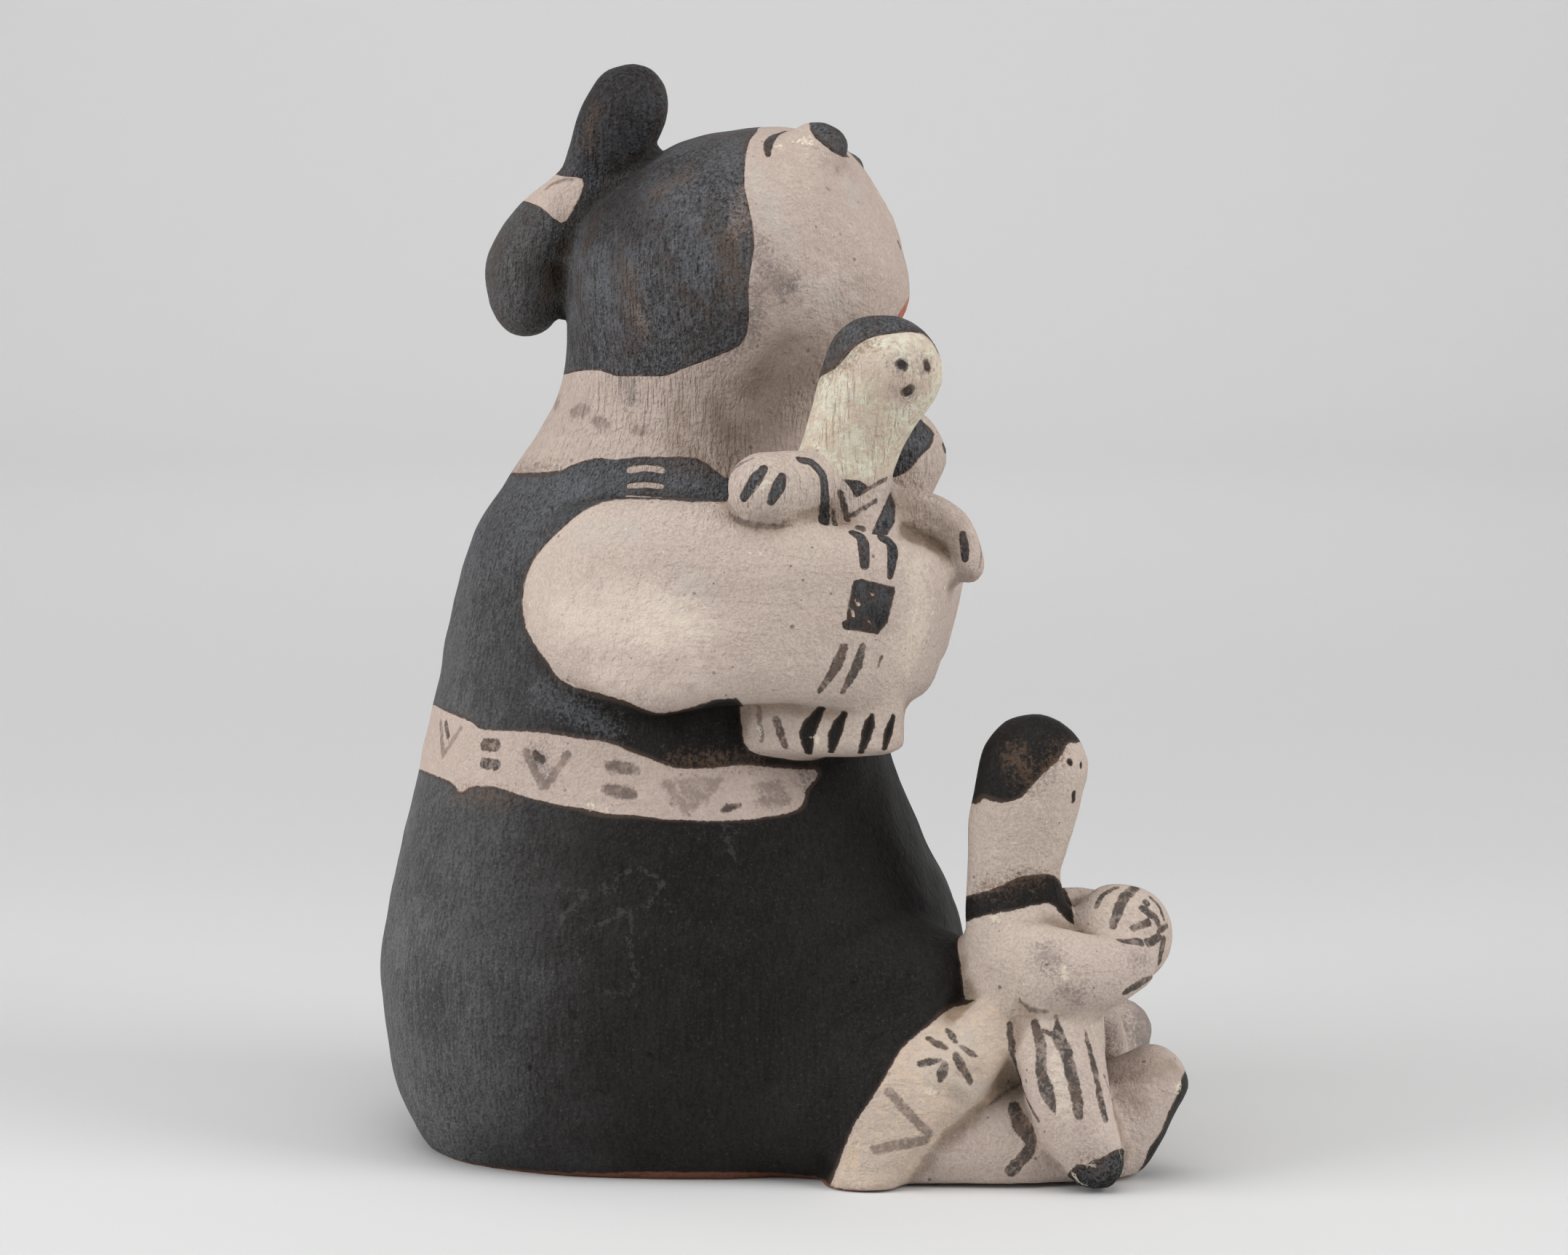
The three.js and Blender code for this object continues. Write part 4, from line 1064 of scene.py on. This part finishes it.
# Bare fired clay: warm and grey clouds, sandy grain, small dimples, wiping lines down the neck and head,
# dark and pale specks.
def makeClayBody():
    look = clayLook
    tree, given, out = newGroup("clayBody", {"Place": "Vector", "Tint": "Color"},
                                {"Color": "Color", "Height": "Float"})
    place = given["Place"]
    clouds = stepped(tree, noise(tree, place, *look["cloudNoise"]), *look["cloudStep"])
    patchy = stepped(tree, noise(tree, place, *look["patchNoise"]), *look["patchStep"])
    sand = noise(tree, place, *look["sandNoise"])
    shade = mixed(tree, clouds, given["Tint"], colour(*look["cloud"]))
    shade = mixed(tree, patchy, shade, colour(*look["patch"]))
    sandLight = stepped(tree, sand, *look["sandStep"])
    shade = node(tree, "ShaderNodeVectorMath", {0: shade, "Scale": sandLight}, operation="SCALE").outputs[0]
    cells = node(tree, "ShaderNodeTexVoronoi", {"Vector": place, "Scale": look["speckScale"]}).outputs
    cellMark = node(tree, "ShaderNodeSeparateColor", {"Color": cells["Color"]}).outputs
    spread = maths(tree, "POWER", cellMark["Red"], look["speckPower"])
    size = timesPlus(tree, spread, look["speckMore"], look["speckLeast"])
    inCell = maths(tree, "LESS_THAN", cells["Distance"], size)
    dark = times(tree, inCell, maths(tree, "GREATER_THAN", cellMark["Green"], look["darkAbove"]))
    darkMask = times(tree, dark, look["darkStrength"])
    shade = mixed(tree, darkMask, shade, colour(*look["darkSpeck"]))
    pale = times(tree, inCell, maths(tree, "LESS_THAN", cellMark["Green"], look["paleBelow"]))
    paleMask = times(tree, pale, look["paleStrength"])
    shade = mixed(tree, paleMask, shade, colour(*look["paleSpeck"]))
    join(tree, shade, out["Color"])
    dimples = noise(tree, place, *look["dimpleNoise"])
    brushed = noise(tree, stretched(tree, place, look["brushStretch"]), *look["brushNoise"])
    height = times(tree, brushed, look["brushHeight"])
    height = timesPlus(tree, dimples, look["dimpleHeight"], height)
    height = timesPlus(tree, sand, look["sandHeight"], height)
    level = node(tree, "ShaderNodeSeparateXYZ", {"Vector": place}).outputs["Z"]
    wiped = times(tree, stepped(tree, level, *look["wipedAbove"]), stepped(tree, level, *look["wipedBelow"]))
    lines = noise(tree, stretched(tree, place, look["wipeStretch"]), *look["wipeNoise"])
    height = timesPlus(tree, times(tree, wiped, look["wipeHeight"]), lines, height)
    join(tree, timesPlus(tree, dark, look["darkHeight"], height), out["Height"])
    return tree


# The same for the slip: "thick" and "thin" give its colour low on the front, low on the back, and up on the
# head and shoulders. The back, head and shoulders are lighter partly from a thinner, sandier coat and partly
# from painted sheen where the slip faces the lamps behind and above her.
slipLook = {
    "thick": [(0.0034, 0.0034, 0.0036), (0.052, 0.052, 0.053), (0.030, 0.028, 0.028)],
    "thin": [(0.013, 0.013, 0.0135), (0.146, 0.147, 0.150), (0.130, 0.136, 0.148)],
    "upperStep": (0.108, 0.150), "backNoise": (26.0, 3.0, 0.55), "backSway": 0.05, "backStep": (0.054, 0.116),
    "streakNoise": (1200.0, 2.0, 0.65, 0.3), "streakStretch": (1.0, 1.0, 0.12), "streakShare": 0.33,
    "cloudNoise": (44.0, 3.0, 0.6), "cloudShare": 0.25,
    "speckleNoise": (1500.0, 2.0, 0.75), "speckleShare": 0.42, "wornStep": (0.38, 0.61),
    "brown": (0.075, 0.052, 0.040), "brownNoise": (96.0, 5.0, 0.7), "brownClouds": 0.65,
    "brownSpeckle": 0.35, "brownStep": (0.48, 0.62, 0.0, 0.62), "brownLevel": (0.150, 0.166),
    "fringe": (0.070, 0.046, 0.035), "fringeSway": 2.4, "fringeStep": (0.2, 1.1, 0.0, 0.65),
    "salt": (0.22, 0.22, 0.22), "saltStep": (0.64, 0.72, 0.0, 0.34), "saltLeast": 0.25, "saltMore": 0.75,
    "upperKnotShade": (0.40, 0.40, 0.41), "upperKnotShadeLevel": (0.194, 0.212), "upperKnotShadeFrom": (0.019, 0.035),
    "upperKnotShadeTo": (0.044, 0.053, 1.0, 0.0),
    "lowerKnot": (0.120, 0.108, 0.100), "lowerKnotLevel": (0.168, 0.180),
    "lowerKnotFrom": (0.046, 0.056, 0.0, 0.35),
    "roughStep": (0.3, 0.7, 0.42, 0.58),
    "grainNoise": (620.0, 2.0, 0.6), "grainHeight": 0.42, "speckleHeight": 0.26,
    "rippleNoise": (210.0, 2.0, 0.55), "rippleHeight": 0.46,
    "leastSand": 1.00, "upperSand": 2.2, "backSand": 1.8, "streakHeight": 1.10,
}


# Black slip: near black where it lies thick, grey where it is wiped thin, browner and thinner on the head and
# shoulders, lighter on the back with painted sheen, the upper knot's middle darkened with painted shade, the
# lower knot paler, rubbed pale grains, and a fine streak down the figure.
def makeSlipBody():
    look = slipLook
    tree, given, out = newGroup("slipBody", {"Place": "Vector", "Distance": "Float"},
                                {"Color": "Color", "Roughness": "Float", "Height": "Float"})
    place = given["Place"]
    axes = node(tree, "ShaderNodeSeparateXYZ", {"Vector": place}).outputs
    level, behind = axes["Z"], axes["Y"]
    upper = stepped(tree, level, *look["upperStep"])
    # Towards her back: a sandier coat, and a lighter colour that is painted sheen.
    swaying = timesPlus(tree, noise(tree, place, *look["backNoise"]), look["backSway"], behind)
    backSandAndSheen = stepped(tree, swaying, *look["backStep"])
    streaks = noise(tree, stretched(tree, place, look["streakStretch"]), *look["streakNoise"])
    clouds = noise(tree, place, *look["cloudNoise"])
    speckle = noise(tree, place, *look["speckleNoise"])

    def whereItLies(shades):
        front, back, top = (colour(*shade) for shade in shades)
        return mixed(tree, upper, mixed(tree, backSandAndSheen, front, back), top)

    worn = times(tree, streaks, look["streakShare"])
    worn = timesPlus(tree, speckle, look["speckleShare"], worn)
    worn = timesPlus(tree, clouds, look["cloudShare"], worn)
    thick, thin = whereItLies(look["thick"]), whereItLies(look["thin"])
    shade = mixed(tree, stepped(tree, worn, *look["wornStep"]), thick, thin)
    brown = times(tree, noise(tree, place, *look["brownNoise"]), look["brownClouds"])
    brown = timesPlus(tree, speckle, look["brownSpeckle"], brown)
    brown = stepped(tree, brown, *look["brownStep"])
    onHead = stepped(tree, level, *look["brownLevel"])
    shade = mixed(tree, times(tree, brown, onHead), shade, colour(*look["brown"]))
    fringe = timesPlus(tree, clouds, look["fringeSway"], given["Distance"])
    shade = mixed(tree, stepped(tree, fringe, *look["fringeStep"]), shade, colour(*look["fringe"]))
    saltHere = maths(tree, "ADD", backSandAndSheen, upper)
    saltHere = timesPlus(tree, saltHere, look["saltMore"], look["saltLeast"], clamp=True)
    salt = times(tree, stepped(tree, speckle, *look["saltStep"]), saltHere)
    shade = mixed(tree, salt, shade, colour(*look["salt"]))
    # The upper knot's middle is darkened: painted shade. The lower knot is made paler.
    knot = times(tree, stepped(tree, level, *look["upperKnotShadeLevel"]),
                 stepped(tree, behind, *look["upperKnotShadeFrom"]))
    knot = times(tree, knot, stepped(tree, behind, *look["upperKnotShadeTo"]))
    shade = mixed(tree, knot, shade, colour(*look["upperKnotShade"]), "MULTIPLY")
    knot = times(tree, stepped(tree, level, *look["lowerKnotLevel"]),
                 stepped(tree, behind, *look["lowerKnotFrom"]))
    shade = mixed(tree, knot, shade, colour(*look["lowerKnot"]))
    join(tree, shade, out["Color"])
    join(tree, stepped(tree, clouds, *look["roughStep"]), out["Roughness"])
    sandy = timesPlus(tree, upper, look["upperSand"], look["leastSand"])
    sandy = maths(tree, "ADD", sandy, times(tree, backSandAndSheen, look["backSand"]))
    fineGrain = noise(tree, place, *look["grainNoise"])
    height = times(tree, speckle, look["speckleHeight"])
    height = timesPlus(tree, fineGrain, look["grainHeight"], height)
    height = times(tree, sandy, height)
    ripple = noise(tree, place, *look["rippleNoise"])
    height = timesPlus(tree, ripple, look["rippleHeight"], height)
    streaky = times(tree, upper, streaks)
    join(tree, timesPlus(tree, streaky, look["streakHeight"], height), out["Height"])
    return tree


# Noise that unsettles the edges, in grains per metre, and the finer one that goes with each.
grains = {"cloud": 130.0, "broad": 320.0, "brush": 660.0, "fine": 1250.0, "finest": 2450.0}
finerGrain = {"cloud": "broad", "broad": "fine", "brush": "finest", "fine": "finest"}

# How each painted layer meets the clay, from the lowest: fray and softness in mm, grain, strength, colour,
# and a second colour where it is mottled. The slip has its own colours.
layerLook = {
    "dull": (4.0, 3.0, "cloud", 0.36, (0.385, 0.300, 0.262)),
    "warm": (0.6, 0.6, "broad", 0.60, (0.62, 0.48, 0.35), (0.50, 0.41, 0.34)),
    "cream": (1.6, 1.3, "broad", 0.80, (0.69, 0.67, 0.54), (0.60, 0.50, 0.38)),
    # milk: painted light, a broad wash that brightens places lying in shade
    "paintedLight": (9.0, 6.0, "broad", 0.85, (0.66, 0.545, 0.48)),
    "blush": (5.0, 3.0, "broad", 0.70, (0.50, 0.385, 0.325)),
    # chalk: pale clay, and painted highlights on the arm
    "chalkAndHighlight": (9.0, 3.5, "brush", 0.48, (0.72, 0.65, 0.53)),
    # ash: a grey-green haze, and painted shadow under the knee
    "ashAndShade": (6.0, 4.0, "broad", 0.42, (0.44, 0.43, 0.39)),
    # earth: brown dirt, and painted shade under the chin, the hands and in creases
    "earthAndShade": (4.0, 3.4, "broad", 0.64, (0.205, 0.150, 0.106)),
    "soot": (7.0, 3.0, "fine", 0.62, (0.11, 0.10, 0.10)),
    "stain": (1.6, 0.7, "brush", 0.55, (0.15, 0.112, 0.092)),
    # umber: a thin brown, and painted shadow lines in creases
    "umberAndCreaseShade": (0.55, 0.30, "brush", 0.76, (0.125, 0.100, 0.090), (0.20, 0.145, 0.115)),
    "slip": (0.36, 0.16, "brush", 0.98),
    "ink": (0.48, 0.22, "brush", 0.92, (0.046, 0.040, 0.038), (0.105, 0.074, 0.058)),
    "red": (0.35, 0.20, "broad", 0.90, (0.42, 0.095, 0.05)),
    # bloom: a pale bloom on the black, and painted highlights on the hair knot
    "bloomAndHighlight": (10.0, 3.0, "fine", 0.42, (0.17, 0.18, 0.195)),
    "rust": (7.0, 2.4, "fine", 0.62, (0.135, 0.086, 0.058)),
    "rub": (6.5, 1.6, "fine", 0.46, (0.34, 0.255, 0.215)),
    "scuff": (1.6, 0.4, "fine", 0.78, (0.74, 0.67, 0.54)),
    "crackle": (2.6, 0.3, "brush", 0.16, (0.15, 0.15, 0.15)),
    # pit: painted near black, the shade inside a small hole
    "pit": (0.2, 0.3, "brush", 0.80, (0.012, 0.011, 0.010)),
    "rim": (0.55, 0.30, "broad", 0.80, (0.24, 0.10, 0.062)),
}
firedLook = {
    "clayRoughness": 0.86,
    "specular": 0.07,
    "hollowShade": (0.42, 0.36, 0.29),          # colour multiplied into hollows as painted shade
    "hollowShadeStep": (0.05, 0.80, 0.0, 0.70),
    "grainDetail": (2.0, 0.6),           # detail and roughness of the grains above
    "wornBroad": 0.55,                   # thin places in the paint over the clay: shares of two grains
    "wornFine": 0.45,
    "wornStep": (0.40, 0.52, 0.66, 1.0),
    "mottleCloud": 0.45,                 # second colours: shares of two grains
    "mottleBrush": 0.55,
    "mottleStep": (0.43, 0.57),
    "slipEdge": (-0.12, 0.12, 1.0, 0.0),     # where the slip's own relief takes over, in mm
    "flakeLip": (-0.2, 0.25, 0.03, 0.0),
    "reliefDepth": 0.001,
}


def makeFiredClay():
    look = firedLook
    material = bpy.data.materials.new("firedClay")
    material.use_nodes = True
    tree = material.node_tree
    shader = tree.nodes["Principled BSDF"]
    place = node(tree, "ShaderNodeTexCoord").outputs["Object"]
    edgeTree = makeBrushedEdge()

    def attribute(name):
        return node(tree, "ShaderNodeAttribute", attribute_name=name).outputs["Fac"]

    inputs = {"Place": place, "Tint": colour(*clayLook["tint"])}
    clay = node(tree, "ShaderNodeGroup", inputs, node_tree=makeClayBody()).outputs
    inputs = {"Place": place, "Distance": attribute("slip")}
    slip = node(tree, "ShaderNodeGroup", inputs, node_tree=makeSlipBody()).outputs
    grain = {name: noise(tree, place, scale, *look["grainDetail"]) for name, scale in grains.items()}
    patchy = times(tree, grain["fine"], look["wornFine"])
    patchy = timesPlus(tree, grain["broad"], look["wornBroad"], patchy)
    worn = stepped(tree, patchy, *look["wornStep"])
    blotches = times(tree, grain["brush"], look["mottleBrush"])
    blotches = timesPlus(tree, grain["cloud"], look["mottleCloud"], blotches)
    mottle = stepped(tree, blotches, *look["mottleStep"])
    shade = clay["Color"]
    for name, (fray, softness, size, strength, *shades) in layerLook.items():
        inputs = {"Distance": attribute(name), "Fray": fray, "Softness": softness, "Coarse": grain[size],
                  "Fine": grain[finerGrain[size]]}
        edge = node(tree, "ShaderNodeGroup", inputs, node_tree=edgeTree)
        mask = times(tree, edge.outputs["Mask"], strength)
        paints = [colour(*painted) for painted in shades]
        if name == "slip":
            slipMask, paints = mask, [slip["Color"]]
        else:
            mask = times(tree, mask, worn)
        paintShade = mixed(tree, mottle, *paints) if len(paints) == 2 else paints[0]
        shade = mixed(tree, mask, shade, paintShade)
    # Hollows are darkened and browned by multiplying in a colour: painted shade.
    hollowShade = stepped(tree, attribute("cavity"), *look["hollowShadeStep"])
    shade = mixed(tree, hollowShade, shade, mixed(tree, 1.0, shade, colour(*look["hollowShade"]), "MULTIPLY"))
    join(tree, shade, shader.inputs["Base Color"])

    def between(mask, first, second):
        change = maths(tree, "SUBTRACT", second, first)
        return maths(tree, "ADD", first, times(tree, mask, change))

    join(tree, between(slipMask, look["clayRoughness"], slip["Roughness"]), shader.inputs["Roughness"])
    slipRelief = stepped(tree, attribute("slip"), *look["slipEdge"])
    height = between(slipRelief, clay["Height"], slip["Height"])
    height = maths(tree, "ADD", height, stepped(tree, attribute("crackle"), *look["flakeLip"]))
    bump = node(tree, "ShaderNodeBump", {"Height": height, "Strength": 1.0, "Distance": look["reliefDepth"]})
    join(tree, bump.outputs["Normal"], shader.inputs["Normal"])
    shader.inputs["Specular IOR Level"].default_value = look["specular"]
    return material


clayMesh.materials.append(makeFiredClay())
print("fired clay:", len(layerLook), "layers of paint and wear")
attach(storyteller, figure["body"])
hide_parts(figure["node"])

# Stage: a flat round floor that rises far away on every side.
stage = {
    "innerRadii": [0.25, 0.8],
    "flatRadius": 1.7,
    "riseRadius": 1.3,
    "height": 2.2,
    "sides": 128,
    "rings": 48,
    "colour": (0.65, 0.65, 0.65),
    "roughness": 0.9,
    "specular": 0.1,
    "roomGlow": 0.05,
}


# Floor as a turned profile: flat out to a radius, then a quarter circle up and a plain wall.
def makeFloor():
    angle = np.linspace(0, math.pi / 2, stage["rings"])
    radius = np.concatenate([stage["innerRadii"], stage["flatRadius"] + stage["riseRadius"] * np.sin(angle)])
    height = np.concatenate([[0, 0], stage["riseRadius"] * (1 - np.cos(angle))])
    radius, height = np.append(radius, radius[-1]), np.append(height, stage["height"])
    sides = np.arange(stage["sides"])
    turn = 2 * math.pi * sides / len(sides)
    rings = np.stack([radius[:, None] * np.cos(turn), radius[:, None] * np.sin(turn),
                      height[:, None] + 0 * turn], -1)
    points = np.vstack([[[0, 0, 0]], rings.reshape(-1, 3)])
    middle = np.column_stack([0 * sides, 1 + sides, 1 + (sides + 1) % len(sides)])
    # the band's triangles are turned round, because this profile is seen from inside
    bands = [band[:, ::-1] for band in bandTriangles(len(rings), len(sides))]
    triangles = np.vstack([middle, *bands])
    floor = bpy.data.objects.new("floor", meshFrom("floor", points, triangles))
    bpy.context.scene.collection.objects.link(floor)
    paper = bpy.data.materials.new("palePaper")
    paper.use_nodes = True
    shader = paper.node_tree.nodes["Principled BSDF"]
    shader.inputs["Base Color"].default_value = colour(*stage["colour"])
    shader.inputs["Roughness"].default_value = stage["roughness"]
    shader.inputs["Specular IOR Level"].default_value = stage["specular"]
    floor.data.materials.append(paper)


# Soft boxes: place, aim, width and height in metres, power in watts, and whether they shine in the gloss.
lights = {
    "overhead": ((-0.35, 0.1, 1.6), (0, 0, 0.1), (1.8, 1.8), 21.0, True),
    "left": ((-0.65, 1.4, 0.62), (0, 0, 0.1), (1.2, 1.0), 19.5, True),
    "right": ((-0.5, -1.4, 0.8), (0, 0, 0.1), (0.9, 1.2), 17.0, False),
    "wall": ((1.15, 0.15, 1.6), (3.0, 0.25, 0.7), (0.8, 0.8), 20.0, False),
}


def makeLights():
    for name, (place, aim, size, power, gloss) in lights.items():
        data = bpy.data.lights.new(name, "AREA")
        data.shape = "RECTANGLE"
        data.size, data.size_y = size
        data.energy = power
        lamp = bpy.data.objects.new(name, data)
        lamp.location = place
        lamp.visible_camera = False
        lamp.visible_glossy = gloss
        lamp.rotation_euler = (Vector(place) - Vector(aim)).to_track_quat("Z", "Y").to_euler()
        bpy.context.scene.collection.objects.link(lamp)
    world = bpy.data.worlds.new("room")
    bpy.context.scene.world = world
    world.use_nodes = True
    glow = world.node_tree.nodes["Background"].inputs
    glow["Color"].default_value = colour(1, 1, 1)
    glow["Strength"].default_value = stage["roomGlow"]
    bpy.context.scene.view_settings.view_transform = "Standard"


makeFloor()
makeLights()
print("stage: floor and", len(lights), "lights")
